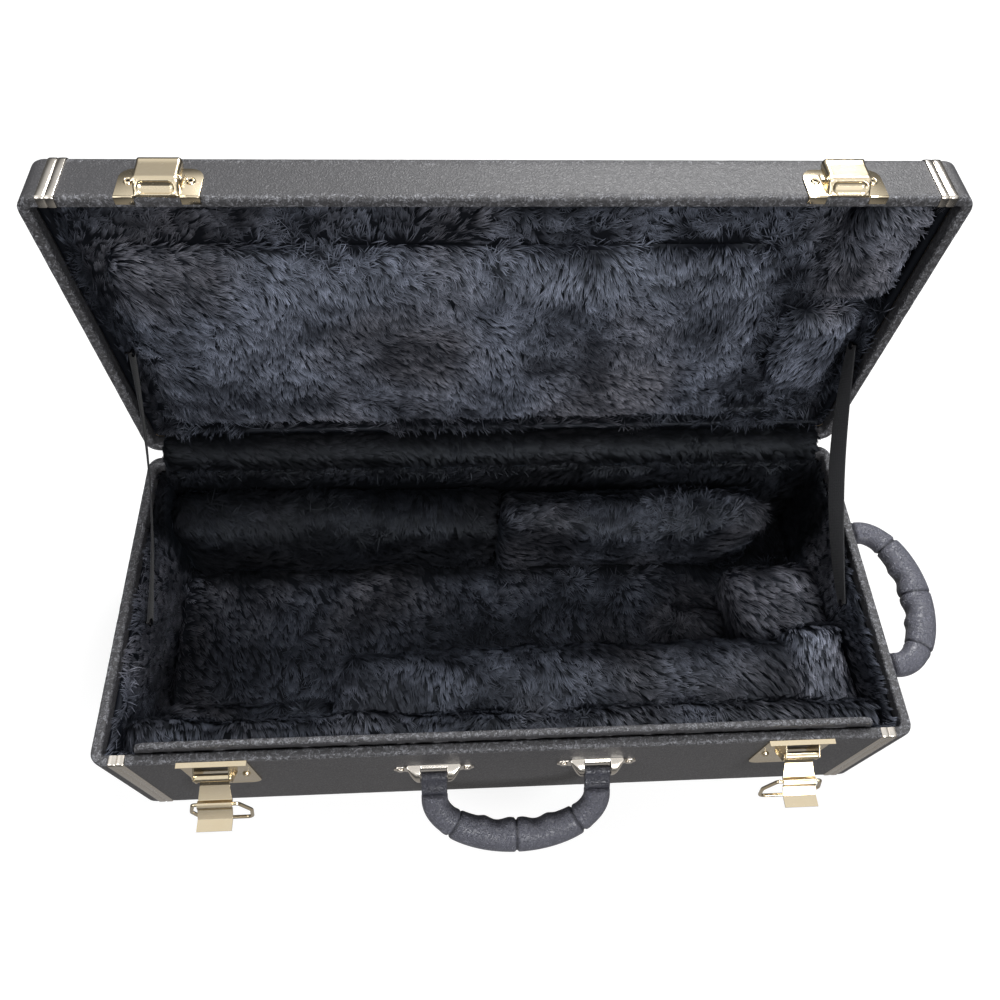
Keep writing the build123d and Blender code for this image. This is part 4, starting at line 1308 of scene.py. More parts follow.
class BaseLinings(bpy.types.Operator):
    """Make the plush lining of the base, one padded piece for each foam block"""

    bl_idname = "trumpet_case.base_linings"
    bl_label = "Base linings"

    def execute(self, context):
        boxes = {**BASE_BLOCKS, **BASE_WALLS}
        combs = {
            "front_block": (0.55, -0.75, 0.0),
            "front_shelf": (0.3, -0.6, 0.0),
            "front_bolster": (0.35, -0.9, 0.1),
            "back_block": (0.4, -0.5, -0.5),
            "back_ridge": (0.6, -0.5, -0.4),
            "end_block": (-0.2, -0.9, 0.0),
            "end_tongue": (0.5, -0.9, -0.2),
            "valve_rest": (-0.2, -0.6, 0.0),
        }
        radii = {"front_bolster": 7, "back_ridge": 9}
        for seed, (name, comb) in enumerate(combs.items()):
            lo, hi = BASE_BLOCKS[name]
            radius = radii.get(name, 11)
            forms = [foam(lo, hi, radius, shrink=1.0)]
            if name == "back_ridge":
                bar = BASE_BLOCKS["ridge_bar"]
                forms.append(foam((bar[0][0], bar[0][1], 60), bar[1], radius, shrink=1.5))
            if name == "valve_rest":
                forms = [foam((129, -13, 10), (191, 21, 27), 14, shrink=1.0, step=3.0)]
            made = new_mesh(name + "_plush", *joined(forms))
            remesh(made, (3.0 if name == "valve_rest" else 5.5) * MM)
            own = (name, "ridge_bar") if name == "back_ridge" else (name,)
            free = free_surface(made, own, boxes)
            if name in ("front_block", "back_block", "back_ridge", "front_bolster"):
                swell(made, 1 - free, 4 * MM)
            lumps(made, free, 3.0, seed)
            points = points_of(made)
            way = np.tile(np.array(comb), (len(points), 1))
            if name == "valve_rest":
                centre = np.array((160, 4, 20)) * MM
                way = (points - centre) / (20 * MM) + np.array(comb) * 0.4
                way[:, 2] = np.maximum(way[:, 2], 0.3)
            lined(made, "base", name, free, way, short_by_walls(points), PAINTED_LIGHT[name])
        self.tray(boxes)
        return {"FINISHED"}

    def tray(self, boxes):
        """The lined tray itself: floor and walls."""
        profile = [(i, 12) for i in (115.9, 100, 85, 70, 55, 40, 28, 20)] + [(16, 12.5), (13, 14), (12.2, 18)]
        profile += [(12, z) for z in (26, 36, 46, 56, 66, 76, 86, 95, 101)]
        profile += [
            (11.4, 104.6), (9.5, 105.8), (7.0, 105.8), (6.2, 105.4), (6.2, 60), (6.2, 6.2), (115.9, 6.2)
        ]
        blocks = [box for name, box in boxes.items() if name in BASE_BLOCKS]
        made, points, normal, free = tray_form("base_lining_plush", profile, blocks, lambda z: z < 10 * MM)
        free[inside(points, [((-300, -130, 0), (300, -108, 103))])] = 0
        wall = points[:, 2] > 16 * MM
        comb = np.where(wall[:, None], np.array((0.35, -0.25, 0.75)), np.array((0.5, -0.65, 0.0)))
        free[(points[:, 2] > 104.7 * MM) & (normal[:, 2] > 0.4)] = 0
        nap = np.where(points[:, 2] > 92 * MM, 0.8, np.where(wall, 1.0, short_by_walls(points)))
        lumps(made, free * (points[:, 2] < 90 * MM), 2.0, 21)
        # painted light and shade: the pile at the back is darkened, where the lid shades it, and the left end
        # is brightened
        lit = np.where(points[:, 1] > 60 * MM, 0.25, np.where(points[:, 0] < -120 * MM, 2.3, 1.9))
        lined(made, "base", "base_lining", free, comb, nap, lit)


class LidLinings(bpy.types.Operator):
    """Make the plush lining of the lid, one padded piece for each pad"""

    bl_idname = "trumpet_case.lid_linings"
    bl_label = "Lid linings"

    def execute(self, context):
        boxes = {**LID_BLOCKS, **LID_WALLS}
        combs = {
            "lid_main_pad": (0.6, 0.75, 0.0),
            "lid_front_pad": (0.4, 0.6, 0.0),
            "lid_rear_pad": (0.3, 0.8, 0.0),
        }
        for seed, (name, comb) in enumerate(combs.items()):
            lo, hi = LID_BLOCKS[name]
            made = new_mesh(name + "_plush", *foam(lo, hi, 13, up=-1, shrink=2.0))
            remesh(made, 5.5 * MM)
            free = free_surface(made, (name,), boxes)
            swell(made, 1 - free, 5 * MM)
            lumps(made, free, 2.6 if name == "lid_main_pad" else 2.0, seed + 31)
            points = points_of(made)
            way = np.tile(np.array(comb), (len(points), 1))
            nap = 0.8 * short_by_walls(points)
            set_points(made, swing(points))
            # 2.0 is painted light that brightens the pads' pile
            lined(made, "lid", name, free, swing_direction(way), nap, 2.0, clump=0.68, stand=0.75)
        self.tray()
        return {"FINISHED"}

    def tray(self):
        """The lined lid itself: its inner face and walls."""
        profile = [(i, 142) for i in (115.9, 100, 85, 70, 55, 40, 28, 20)] + [(15, 141.2), (12.6, 139.5)]
        profile += [(12, z) for z in (137, 134, 131, 129)]
        profile += [(11.4, 127.6), (9.5, 126.8), (7.0, 126.8), (6.2, 127.4), (6.2, 147.8), (115.9, 147.8)]
        blocks = list(LID_BLOCKS.values())
        made, points, normal, free = tray_form("lid_lining_plush", profile, blocks, lambda z: z > 144 * MM)
        comb = np.tile(np.array((0.2, -0.5, -0.2)), (len(points), 1))
        near_lip = (points[:, 1] < -105 * MM) & (points[:, 2] < 136 * MM)
        nap = np.where(near_lip, 0.3, np.where(points[:, 2] > 138 * MM, 0.95 * short_by_walls(points), 0.95))
        free[(points[:, 2] < 128.2 * MM) & (normal[:, 2] < -0.4)] = 0
        comb[near_lip] = (0.3, 0.6, 0.8)
        lumps(made, free * (points[:, 2] > 134 * MM), 1.6, 51)
        set_points(made, swing(points_of(made)))
        # 1.3 is painted light that brightens the lid's lining
        lined(made, "lid", "lid_lining", free, swing_direction(comb), nap, 1.3)


# Handles
def handle_path():
    """The grip's centre line, (along the case, reach from the axle), and the distance run along it."""
    half, bend, reach, start = HANDLE_POST, 17.0, 48.8, 13.0
    arm = [(-half, r) for r in np.linspace(start, bend, 4)[:-1]]
    curve = [
        (-half * math.cos(a), bend + (reach - bend) * math.sin(a)) for a in np.linspace(0, math.pi, 1200)
    ]
    line = np.array(arm + curve + [(-x, r) for x, r in reversed(arm)])
    run = np.concatenate(([0], np.cumsum(np.linalg.norm(np.diff(line, axis=0), axis=1))))
    even = np.linspace(0, run[-1], 190)
    return np.column_stack([np.interp(even, run, line[:, k]) for k in (0, 1)]), even


def handle_form(put):
    """The moulded grip: two arms, finger dents on its inner side and three grooves."""
    line, run = handle_path()
    total = run[-1]
    shoulder = float(np.interp(-44.5, line[:95, 0], run[:95]))
    tangent = np.gradient(line, axis=0)
    tangent /= np.linalg.norm(tangent, axis=1, keepdims=True)
    inward = np.column_stack((tangent[:, 1], -tangent[:, 0]))
    turn = np.linspace(0, 2 * math.pi, 49)[:-1]
    rings, folds = [], []
    for (x, r), (ix, ir), s in zip(line, inward, run):
        near = min(s, total - s)
        middle = total / 2 - near
        grip = 1 / (1 + math.exp(-(near - shoulder - 0.5) / 0.6))
        belly = math.sin(math.pi / 2 * min(max((near - shoulder) / (total / 2 - shoulder), 0), 1))
        wide = 9.3 + 0.35 * min(near / shoulder, 1) + grip * (0.7 + 0.9 * belly)
        deep = 7.3 + 0.6 * min(near / shoulder, 1) + grip * (0.8 + 1.2 * belly)
        fold = max(math.exp(-(((near - shoulder) / 0.8) ** 2)), math.exp(-((middle / 0.8) ** 2)))
        puff = math.exp(-(((near - shoulder + 3.2) / 2.0) ** 2)) * 0.35
        fade = min(max((34 - middle) / 8, 0), 1)
        wave = 1.45 * math.cos(2 * math.pi * (middle - 4.5) / 22) * fade * grip
        cap = min(1.0, 0.86 + 0.14 * min(near / 1.6, 1))
        ring = []
        for a in turn:
            c, d = math.cos(a), math.sin(a)
            cw = math.copysign(abs(c) ** 0.86, c) * (wide + puff - fold * 1.5) * cap
            dd = math.copysign(abs(d) ** 0.86, d) * (deep + puff - fold * 1.4) * cap
            if c > 0:
                cw += wave * c**1.3
            ring.append(put((x + ix * cw) * MM, (r + ir * cw) * MM, dd * MM))
            folds.append(fold)
        rings.append(ring)
    points, faces = loft(rings)
    return points, faces, folds


def front_put(x, reach, deep):
    """A place on the front handle, from its own plane."""
    ax, ay, az = FRONT_AXLE
    c, s = math.cos(FRONT_DROOP), math.sin(FRONT_DROOP)
    return (ax + x, ay - reach * c - deep * s, az - reach * s + deep * c)


def side_put(x, reach, deep):
    """A place on the side handle, which stands straight out."""
    return (SIDE_SHIFT - FRONT_AXLE[1] + reach, x, FRONT_AXLE[2] + deep)


def tab_form(put, middle):
    """The flat end of the handle, rolled round the axle."""
    half = 9.0
    flat = [(3.0, 2.3), (6.0, 2.35), (8.2, 2.3), (8.8, 2.5)] + [(r, 2.75) for r in np.linspace(9.2, 11.4, 7)]
    flat += [(11.8, 2.5), (12.3, 2.3), (13.4, 2.3)]
    ring = [(r, d) for r, d in flat[::-1]]
    ring += [(3.4 * math.cos(a), 3.4 * math.sin(a)) for a in np.radians(np.linspace(50, 310, 15))]
    ring += [(r, -d) for r, d in flat]
    xs = [-half, -half + 0.25, -half + 0.7] + list(np.linspace(-half + 1.0, half - 1.0, 68)) + [
        half - 0.7, half - 0.25, half
    ]
    rings = []
    for x in xs:
        edge = (half - abs(x)) / 0.7
        pull = 0.45 * (1 - min(edge, 1)) ** 2
        row = []
        for r, d in ring:
            braid = 0.0
            if 9.0 < r < 11.6 and edge > 1:
                braid = 0.34 * math.sin(2 * math.pi * (x / 1.7 + abs(r - 10.3) / 2.4))
            out = (d + math.copysign(braid, d)) * (1 - pull / 3.4)
            row.append(put((middle + x) * MM, (r - pull * (1 if r > 0 else -1)) * MM, out * MM))
        rings.append(row)
    return loft(rings)


def round_off(distance, radius):
    """0 at an edge and 1 further in than the radius, along a quarter circle."""
    t = min(max(distance / radius, 0.0), 1.0)
    return math.sqrt(1 - (1 - t) ** 2)


def saddle_height(a, z, half):
    """How far a handle bracket stands out at a place, in millimetres, from its middle and its axle."""
    plate = 1.2 * round_off(half - abs(z), 0.7)
    if a < 9.36:
        return plate + 1.9 * round_off(z - 4.3, 0.9) * round_off(6.9 - z, 2.6)
    flare = min(max((18.6 + 0.22 * z - a) / 6.8, 0.0), 1.0)
    cheek = math.sin(flare * math.pi / 2) ** 0.85
    return plate + 8.4 * cheek * round_off(z + 7.2, 4.2) * round_off(7.2 - z, 9.0)


def saddle_form(put):
    """A handle bracket: an eared plate whose two flared cheeks hold the axle."""
    right = [0.0, 3.0, 6.0, 8.6, 9.3, 9.42] + list(np.linspace(10.0, 21.0, 24)) + list(
        np.linspace(21.7, 27.6, 9)
    )
    right += [28.0, 28.3, 28.45]
    rings = []
    for x in [-x for x in reversed(right[1:])] + right:
        a = abs(x)
        ear = 4.5 * math.sqrt(max(1 - max(a - 24.0, 0.0) ** 2 / 4.5**2, 0.001))
        blend = min(max((a - 17.5) / 5.5, 0.0), 1.0)
        blend = blend * blend * (3 - 2 * blend)
        half = 7.4 * (1 - blend) + ear * blend
        zs = half * np.sin(np.linspace(-math.pi / 2, math.pi / 2, 44))
        ring = [put(x, z, 0.04 + saddle_height(a, z, half)) for z in zs]
        rings.append(ring + [put(x, half * 0.999, 0.0), put(x, -half * 0.999, 0.0)])
    return loft(rings)


class Handles(bpy.types.Operator):
    """Make both moulded handles with their rolled ends"""

    bl_idname = "trumpet_case.handles"
    bl_label = "Handles"

    def execute(self, context):
        for word, put in (("front", front_put), ("side", side_put)):
            points, faces, folds = handle_form(put)
            made = new_mesh(word + "_handle_moulding", points, faces)
            # fold marks the grooves, which the material darkens with painted shade
            store(made, "fold", folds)
            recalculate(made)
            dress(made, word + "_handle", "handle", word + "_handle_grip")
            made = new_mesh(
                word + "_handle_ends", *joined([tab_form(put, m) for m in (-HANDLE_POST, HANDLE_POST)])
            )
            # the strap ends carry 0.6 on the same mask, which darkens them
            store(made, "fold", np.full(len(made.data.vertices), 0.6))
            recalculate(made)
            dress(made, word + "_handle", "handle", word + "_handle_tabs")
            forms = []
            for middle in (-HANDLE_POST, HANDLE_POST):
                if word == "front":
                    forms.append(saddle_form(lambda x, z, out: (
                        FRONT_AXLE[0] + (middle + x) * MM, -HALF_Y - out * MM, FRONT_AXLE[2] + z * MM)))
                else:
                    forms.append(saddle_form(lambda x, z, out: (
                        HALF_X + out * MM, (middle + x) * MM, FRONT_AXLE[2] + z * MM)))
            made = new_mesh(word + "_handle_saddles", *joined(forms))
            recalculate(made)
            dress(made, "base", "nickel", word + "_handle_brackets")
        return {"FINISHED"}


# Catches on the lid and rivets
def catch_points(x, rise, out):
    """A place on the shut lid's front wall, from its rim and its face."""
    return (x, -HALF_Y - out, LID_LOW + rise)


def catch_hook(middle):
    """The formed hook: its lower face has a pressed pocket and its sides are rolled in."""
    path = [(0.9, 0.6), (1.3, 1.4)]
    path += [(1.3 + 5.4 * t, 1.4 + 5.6 * t) for t in np.linspace(0.05, 1, 34)]
    for a in np.radians(np.linspace(44, 0, 7)[1:]):
        path.append((8.6 - 2.6 * math.sin(a), 8.2 - 1.7 * (1 - math.cos(a))))
    path += [(r, 8.2 + 0.6 * max(0.0, (r - 20) / 4) ** 2) for r in np.linspace(9.6, 24, 12)]
    path = np.array(path)
    run = np.gradient(path, axis=0)
    run /= np.linalg.norm(run, axis=1, keepdims=True)
    face_out = np.column_stack((-run[:, 1], run[:, 0]))
    length = np.concatenate(([0], np.cumsum(np.linalg.norm(np.diff(path, axis=0), axis=1))))
    widths = [(-12.4, 4.6), (-12.4, 2.6), (-12.3, 1.2), (-11.9, 0.45), (-11.2, 0.08)]
    inner = [(x, 0.0) for x in np.linspace(-10.9, 10.9, 64)]
    rows = widths + inner + [(-x, d) for x, d in reversed(widths)]
    rings = []
    for (rise, out), (nr, no), v in zip(path, face_out, length):
        ring = []
        for x, drop in rows:
            edge = 3.5 - math.hypot(max(abs(x) - 7.2, 0.0), v - 4.75)
            pocket = 1.35 * min(max(edge / 2.4, 0.0), 1.0) ** 0.6
            lip = 0.34 * math.exp(-(((edge + 0.3) / 0.35) ** 2))
            most = min(drop, max(out - 0.9, 0.0))
            if 6.6 < rise < 11.2:
                most = min(most, 0.45)
            shift = lip - pocket
            ring.append(
                catch_points((middle + x) * MM, (rise + nr * shift) * MM, (out + no * shift - most) * MM)
            )
        rings.append(ring)
    return loft(rings, closed=False)


def slab(outline, thick, put):
    """A flat plate with this outline, between 0 and its thickness."""
    count = len(outline)
    points = [put(x, z, 0) for x, z in outline] + [put(x, z, thick) for x, z in outline]
    faces = [tuple(range(count)), tuple(range(2 * count - 1, count - 1, -1))]
    faces += [(i, (i + 1) % count, count + (i + 1) % count, count + i) for i in range(count)]
    return points, faces


def rivet_tree():
    """Puts hollow rivet heads on points, turned to their stored direction."""
    known = bpy.data.node_groups.get("rivet heads")
    if known:
        return known
    tree = new_tree("rivet heads", {"Places": "Geometry", "Radius": 0.0027, "Finish": "Material"}, "Heads")
    book = Book(tree)
    given = book.node("NodeGroupInput", {}, {}, "Places")
    disc = book.node(
        "GeometryNodeMeshGrid", {}, {"Size X": 1.0, "Size Y": 1.0, "Vertices X": 25, "Vertices Y": 12}, "Mesh"
    )
    parts = book.node("ShaderNodeSeparateXYZ", {}, {"Vector": book.node("GeometryNodeInputPosition", {}, {})})
    angle = parts.at("X") * (2 * math.pi)
    t = parts.at("Y") + 0.5
    away = 1.0 - t
    rim = ((away - 0.42) * (1.0 / 0.58)).most(0.0)
    height = (rim * math.pi).sine() * 0.34 + (away * 2.4).least(1.0) * 0.16 * (2.0 - away * 2.0).least(1.0)
    shaped = book.node(
        "ShaderNodeCombineXYZ", {}, {"X": angle.cosine() * away, "Y": angle.sine() * away, "Z": height + 0.02}
    )
    # the head's centre is marked hollow, to be painted dark as the shade inside the rivet's hole
    marked = keep(book, disc, "hollow", ((0.5 - away) * 8).most(0.0).least(1.0))
    head = book.node("GeometryNodeSetPosition", {}, {"Geometry": marked, "Position": shaped})
    head = book.node("GeometryNodeMergeByDistance", {}, {"Geometry": head, "Distance": 0.002})
    facing = stored(book, "facing", "FLOAT_VECTOR")
    turn = book.node("FunctionNodeAlignRotationToVector", {"axis": "Z"}, {"Vector": facing})
    size = given.at("Radius")
    scale = book.node("ShaderNodeCombineXYZ", {}, {"X": size, "Y": size, "Z": size})
    end_tree(book, strewn(book, given, head, turn, scale), given.at("Finish"))
    return tree


def rivets(name, body, node, places, facing):
    """Hollow rivet heads at these places, as one piece that stands for the node."""
    made = new_mesh(name, places, [], False)
    store(made, "facing", [facing] * len(places), "FLOAT_VECTOR")
    run_tree(made, rivet_tree(), {"Radius": 3.0 * MM, "Finish": material("champagne")})
    recalculate(made)
    dress(made, body, "champagne", node)


class Catches(bpy.types.Operator):
    """Make the catches on the lid and the rivets of the catches and latch plates"""

    bl_idname = "trumpet_case.catches"
    bl_label = "Catches and rivets"

    def execute(self, context):
        for word, side in (("left", -1), ("right", 1)):
            middle = side * LATCH_X / MM
            made = new_mesh("catch_" + word + "_hook", *catch_hook(middle))
            thick = made.modifiers.new("sheet", "SOLIDIFY")
            thick.thickness = 0.85 * MM
            thick.offset = 0
            settle(made)
            recalculate(made)
            set_points(made, swing(points_of(made)))
            dress(made, "lid", "champagne", "catch_" + word)
            round_top = [
                (24 - 8 + 8 * math.cos(a), 25 - 8 + 8 * math.sin(a))
                for a in np.radians(np.linspace(0, 90, 9))
            ]
            outline = [(-24, 0.9), (24, 0.9)] + round_top + [(-x, z) for x, z in reversed(round_top)]
            shapes = [
                slab(outline, 1.0, lambda x, z, t: catch_points((middle + x) * MM, z * MM, (0.05 + t) * MM))
            ]
            for tab in (-18.5, 18.5):
                fold = [(1.05, 1.6), (1.05, 1.0)] + arc((0.25, 0.8), 0.8, 0, -90, 6) + [
                    (-4.4, 0.0), (-4.4, 0.9), (0.05, 0.9), (0.05, 1.6)
                ]
                shapes.append(
                    slab(
                        fold, 11.0,
                        lambda o, r, t, tab=tab: catch_points((middle + tab - 5.5 + t) * MM, r * MM, o * MM),
                    )
                )
            made = new_mesh("catch_" + word + "_plate", *joined(shapes))
            recalculate(made)
            soften(made, 0.22 * MM)
            set_points(made, swing(points_of(made)))
            dress(made, "lid", "champagne", "catch_" + word)
        places = [
            catch_points((s * 200 + t * 17.5) * MM, 13.5 * MM, 1.0 * MM) for s in (-1, 1) for t in (-1, 1)
        ]
        up = swing_direction([(0, -1, 0)])[0]
        rivets("catch_rivet_heads", "lid", "catch_rivets", swing(places), tuple(up))
        places = [((s * 200 + t * 16.5) * MM, -123 * MM, 84 * MM) for s in (-1, 1) for t in (-1, 1)]
        rivets("latch_rivet_heads", "base", "latch_rivets", places, (0, -1, 0))
        return {"FINISHED"}


class Latches(bpy.types.Operator):
    """Ease the edges of the latch plates and levers, as pressed sheet has them"""

    bl_idname = "trumpet_case.latches"
    bl_label = "Latch plates and levers"

    def execute(self, context):
        for word in ("left", "right"):
            for kind, body, ease, lift in (
                ("plate", "base", 0.18, 0.0), ("lever", "latch_lever_" + word, 0.22, 0.3)
            ):
                node = "latch_" + kind + "_" + word
                source = frame["nodes"][node]
                mesh = source.data.copy()
                mesh.materials.clear()
                made = bpy.data.objects.new(node + "_pressed", mesh)
                context.scene.collection.objects.link(made)
                grid = bmesh.new()
                grid.from_mesh(mesh)
                grid.transform(source.matrix_world)
                bmesh.ops.remove_doubles(grid, verts=grid.verts, dist=0.002 * MM)
                bmesh.ops.dissolve_limit(
                    grid, angle_limit=math.radians(0.5), verts=grid.verts, edges=grid.edges
                )
                turn = Matrix.Rotation(math.radians(-lift), 4, "X")
                pin = Matrix.Translation(Vector(LEVER_PIN))
                grid.transform(pin @ turn @ pin.inverted())
                grid.to_mesh(mesh)
                grid.free()
                soften(made, ease * MM)
                recalculate(made)
                made.data.set_sharp_from_angle(angle=math.radians(20))
                dress(made, body, "champagne", node)
        return {"FINISHED"}


# Stay straps
class Straps(bpy.types.Operator):
    """Make the woven stay straps between the base and the lid"""

    bl_idname = "trumpet_case.straps"
    bl_label = "Stay straps"

    def execute(self, context):
        low = np.array((-14.0, 98.0))
        high = swing([(0, (124.9 - 104) * MM, (116.4 + 14) * MM)])[0][1:] / MM
        run = high - low
        bow = 9.0
        edge = [(-6, 0.35), (-5.6, 0.5), (0, 0.5), (5.6, 0.5), (6, 0.35)]
        section = edge + [(w, -h) for w, h in reversed(edge)]
        length = np.linalg.norm(run)
        across = np.array((run[1], -run[0])) / length
        for word, side in (("left", -1), ("right", 1)):
            rings, uvs = [], []
            for t in np.linspace(0, 1, 60):
                mid = low + run * t + across * bow * 4 * t * (1 - t)
                slope = run + across * bow * 4 * (1 - 2 * t)
                slope /= np.linalg.norm(slope)
                wide = np.array((slope[1], -slope[0]))
                ring = []
                for w, h in section:
                    turn = (0.75 if side > 0 else -0.3) * math.sin(t * math.pi)
                    p = mid + wide * (w * math.cos(turn))
                    shift = -side * (3.5 * math.sin(t * math.pi) + 0.25) - side * w * math.sin(turn)
                    ring.append(((side * 263 + h + shift) * MM, p[0] * MM, p[1] * MM))
                    uvs.append((w * MM, t * length * MM))
                rings.append(ring)
            points, faces = loft(rings)
            made = new_mesh("stay_strap_" + word + "_tape", points, faces)
            layer = made.data.uv_layers.new(name="run")
            index = np.empty(len(made.data.loops), np.int32)
            made.data.loops.foreach_get("vertex_index", index)
            layer.data.foreach_set("uv", np.array(uvs, np.float32)[index].ravel())
            recalculate(made)
            made.data.materials.append(material("tape"))
            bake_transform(made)
            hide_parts("stay_strap_" + word)
        return {"FINISHED"}


class HingeCover(bpy.types.Operator):
    """Make the plush strip that bridges the back rims inside the hinges"""

    bl_idname = "trumpet_case.hinge_cover"
    bl_label = "Plush over the back rims"

    def execute(self, context):
        low = (113.7, 106.2)
        turn = (113.7, 113.5)
        reach, rise = 10.06, 13.85
        forward, upward = 0.7009, 0.7133  # towards the middle of the lid's opening
        hinge_y, hinge_z = 124.9, 116.2
        middle = (hinge_y - forward * (reach - rise), hinge_z + upward * (reach - rise))
        start = math.degrees(math.atan2(turn[1] - middle[1], turn[0] - middle[0]))
        bend = arc(middle, rise, start % 360, 90, 12)
        ends = swing([(0, low[0] * MM, (2 * hinge_z - low[1]) * MM)])[0][1:] / MM
        line = [low, (113.7, 109.8)] + bend + [
            (float(ends[0]) - 3.6, float(ends[1])), (float(ends[0]), float(ends[1]))
        ]
        line = np.array(line)
        run = np.gradient(line, axis=0)
        run /= np.linalg.norm(run, axis=1, keepdims=True)
        rings = []
        for x in np.linspace(-266, 266, 110):
            near = min(1.0, (266 - abs(x)) / 3 + 0.25)
            top = [
                (x * MM, (y - rz * 0.75 * near) * MM, (z + ry * 0.75 * near) * MM)
                for (y, z), (ry, rz) in zip(line, run)
            ]
            under = [
                (x * MM, (y + rz * 0.7) * MM, (z - ry * 0.7) * MM)
                for (y, z), (ry, rz) in zip(line[::-1], run[::-1])
            ]
            rings.append(top + under)
        points, faces = loft(rings)
        made = new_mesh("hinge_cover_plush", points, faces)
        recalculate(made)
        points, normal = points_of(made), normals_of(made)
        inner = normal[:, 1] * -0.7 + normal[:, 2] * 0.7
        free = (inner > 0.25).astype(float)
        comb = np.tile(np.array((1.0, -0.25, -0.3)), (len(points), 1))
        # 0.13 is painted shade that darkens this pile under the open lid
        grow(made, free, comb, 0.7, 0.13, density=1.1, stand=0.45)
        made.data.name = made.name
        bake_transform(made)
        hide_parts("hinge_cover")
        return {"FINISHED"}


class CarriedOver(bpy.types.Operator):
    """Give the nodes that stay as modelled their finishes"""

    bl_idname = "trumpet_case.carried_over"
    bl_label = "Finishes of the modelled metal"

    def execute(self, context):
        slots = {s["node"]: s["material_slot"] for s in frame["record"]["subparts"]}
        for node, obj in frame["nodes"].items():
            if obj.hide_render:
                continue
            word = "champagne" if node.startswith(("latch", "catch")) else slots[node]
            word = "black tacks" if node.startswith("strap_tacks") else word
            wanted = material("handle" if word == "handle_plastic" else word)
            if not obj.material_slots:
                obj.data.materials.append(wanted)
            for entry in obj.material_slots:
                entry.link = "OBJECT"
                entry.material = wanted
        return {"FINISHED"}


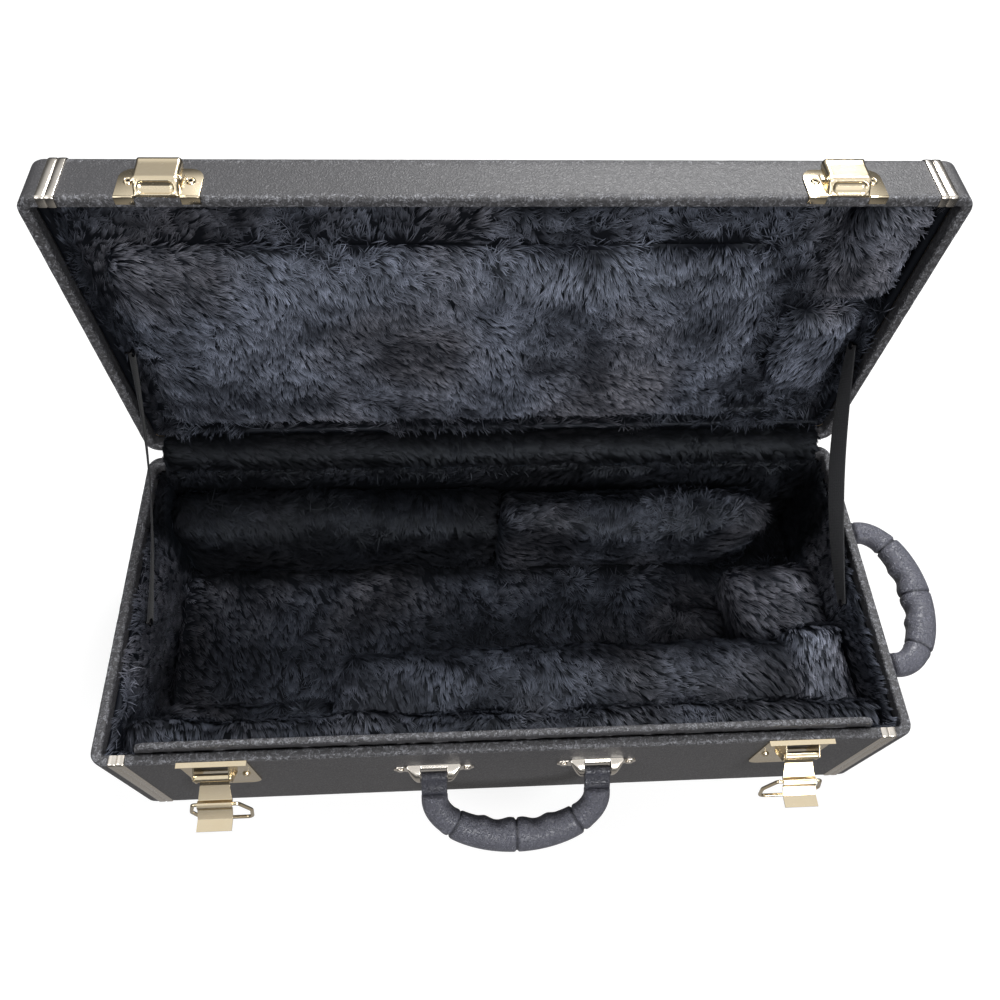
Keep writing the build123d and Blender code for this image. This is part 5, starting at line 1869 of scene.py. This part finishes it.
class Stage(bpy.types.Operator):
    """Make the pale floor, the soft lights and the camera"""

    bl_idname = "trumpet_case.stage"
    bl_label = "Stage, lights and camera"

    def execute(self, context):
        scene = context.scene
        scene.view_settings.view_transform = "Standard"
        floor = new_mesh("floor", [(-6, -6, 0), (6, -6, 0), (6, 6, 0), (-6, 6, 0)], [(0, 1, 2, 3)], False)
        made, book = finish("pale floor")
        path = book.node("ShaderNodeLightPath", {}, {}, "Is Camera Ray")
        matt = book.node("ShaderNodeBsdfDiffuse", {}, {"Color": (0.25, 0.25, 0.25, 1)})
        glow = book.node("ShaderNodeEmission", {}, {"Color": (1, 1, 1, 1), "Strength": path * 0.85})
        lit = book.node("ShaderNodeAddShader", {}, {0: matt, 1: glow})
        away = book.vector("LENGTH", place_of(book))
        dim = book.mix(book.span(away, 0.25, 0.8), (0.34, 0.33, 0.32), (0.05, 0.05, 0.052))
        mirrored = book.node("ShaderNodeEmission", {}, {"Color": dim, "Strength": 1.0})
        wire_out(
            book, book.node("ShaderNodeMixShader", {}, {0: path.at("Is Glossy Ray"), 1: lit, 2: mirrored})
        )
        floor.data.materials.append(made)
        self.world(scene)
        for name, place, aim, size, power in (
            ("key light", (0.5, -1.65, 1.3), (0.05, 0.05, 0.2), 0.8, 26.0),
            ("fill light", (-1.5, -0.9, 1.3), (0, 0.05, 0.2), 1.4, 9.0),
            ("top light", (0.55, 1.35, 1.95), (0, 0.0, 0.15), 1.0, 62.0),
        ):
            lamp = bpy.data.lights.new(name, "AREA")
            lamp.shape = "DISK"
            lamp.size = size
            lamp.energy = power
            obj = bpy.data.objects.new(name, lamp)
            obj.location = place
            obj.rotation_euler = (Vector(aim) - Vector(place)).to_track_quat("-Z", "Y").to_euler()
            scene.collection.objects.link(obj)
        self.camera(scene)
        return {"FINISHED"}

    def world(self, scene):
        """White to the camera, dim to matt faces, and a brighter room with two windows to metal."""
        world = bpy.data.worlds.new("studio")
        world.use_nodes = True
        world.node_tree.nodes.clear()
        book = Book(world.node_tree)
        path = book.node("ShaderNodeLightPath", {}, {}, "Is Camera Ray")
        mirror = path.at("Is Glossy Ray")
        way = book.node("ShaderNodeTexCoord", {}, {}, "Generated")
        parts = book.node("ShaderNodeSeparateXYZ", {}, {"Vector": way})
        high = book.span(parts.at("Z"), 0.35, 0.75)
        window = book.span(book.vector("DOT_PRODUCT", way, (0.45, -0.75, 0.48)), 0.8, 0.93)
        strip = book.span(book.vector("DOT_PRODUCT", way, (-0.7, 0.1, 0.7)), 0.9, 0.97)
        room = 0.1 + high * 0.78 + window * 0.45 + strip * 0.4
        strength = path + mirror * room + (1.0 - path - mirror) * 0.16
        sky = book.node("ShaderNodeBackground", {}, {"Color": (1, 1, 1, 1), "Strength": strength})
        end = world.node_tree.nodes.new("ShaderNodeOutputWorld")
        world.node_tree.links.new(sky.socket, end.inputs["Surface"])
        scene.world = world

    def camera(self, scene):
        """The camera fitted to the photograph's corner points; its tilt is down from the horizon."""
        tilt, yaw, roll = math.radians(58.944), math.radians(6.250), math.radians(4.190)
        ahead = Vector((math.sin(yaw) * math.cos(tilt), math.cos(yaw) * math.cos(tilt), -math.sin(tilt)))
        right = Vector((math.cos(yaw), -math.sin(yaw), 0))
        up = right.cross(ahead)
        x = math.cos(roll) * right + math.sin(roll) * up
        y = -math.sin(roll) * right + math.cos(roll) * up
        lens = bpy.data.cameras.new("camera")
        lens.sensor_fit = "HORIZONTAL"
        lens.sensor_width, lens.lens = 36, 30.246
        lens.clip_start = 0.01
        lens.clip_end = 50
        eye = bpy.data.objects.new("camera", lens)
        turn = Matrix((x, y, -ahead)).transposed().to_4x4()
        place = Vector((-36.913, -267.421, 687.988)) * MM
        eye.matrix_world = Matrix.Translation(place) @ turn
        scene.collection.objects.link(eye)
        scene.camera = eye


STEPS = (
    BaseCovering, LidCovering, Bands, FrontLip, BaseLinings, LidLinings, HingeCover, Handles, Catches,
    Latches, Straps, CarriedOver, Stage,
)


class CasePanel(bpy.types.Panel):
    """The case's pieces in the sidebar"""

    bl_idname = "VIEW3D_PT_trumpet_case"
    bl_label = "Trumpet case"
    bl_space_type = "VIEW_3D"
    bl_region_type = "UI"
    bl_category = "Case"

    def draw(self, context):
        for group in (context.scene.case_sizes, context.scene.case_plush, context.scene.case_finish):
            for key in group.bl_rna.properties.keys():
                if key not in ("rna_type", "name"):
                    self.layout.prop(group, key)
        for step in STEPS:
            self.layout.operator(step.bl_idname)


GROUPS = (("case_sizes", CaseSizes), ("case_plush", PlushLook), ("case_finish", FinishLook))


def register():
    """Registers the settings, the operators and the panel."""
    for name, group in GROUPS:
        bpy.utils.register_class(group)
        setattr(bpy.types.Scene, name, PointerProperty(type=group))
    for step in (*STEPS, CasePanel):
        bpy.utils.register_class(step)


def unregister():
    """Takes them all off again."""
    for step in reversed((*STEPS, CasePanel)):
        bpy.utils.unregister_class(step)
    for name, group in reversed(GROUPS):
        delattr(bpy.types.Scene, name)
        bpy.utils.unregister_class(group)


def main():
    """Runs every step."""
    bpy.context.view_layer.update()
    register()
    for step in STEPS:
        group, name = step.bl_idname.split(".")
        getattr(getattr(bpy.ops, group), name)()


if __name__ == "__main__":
    main()
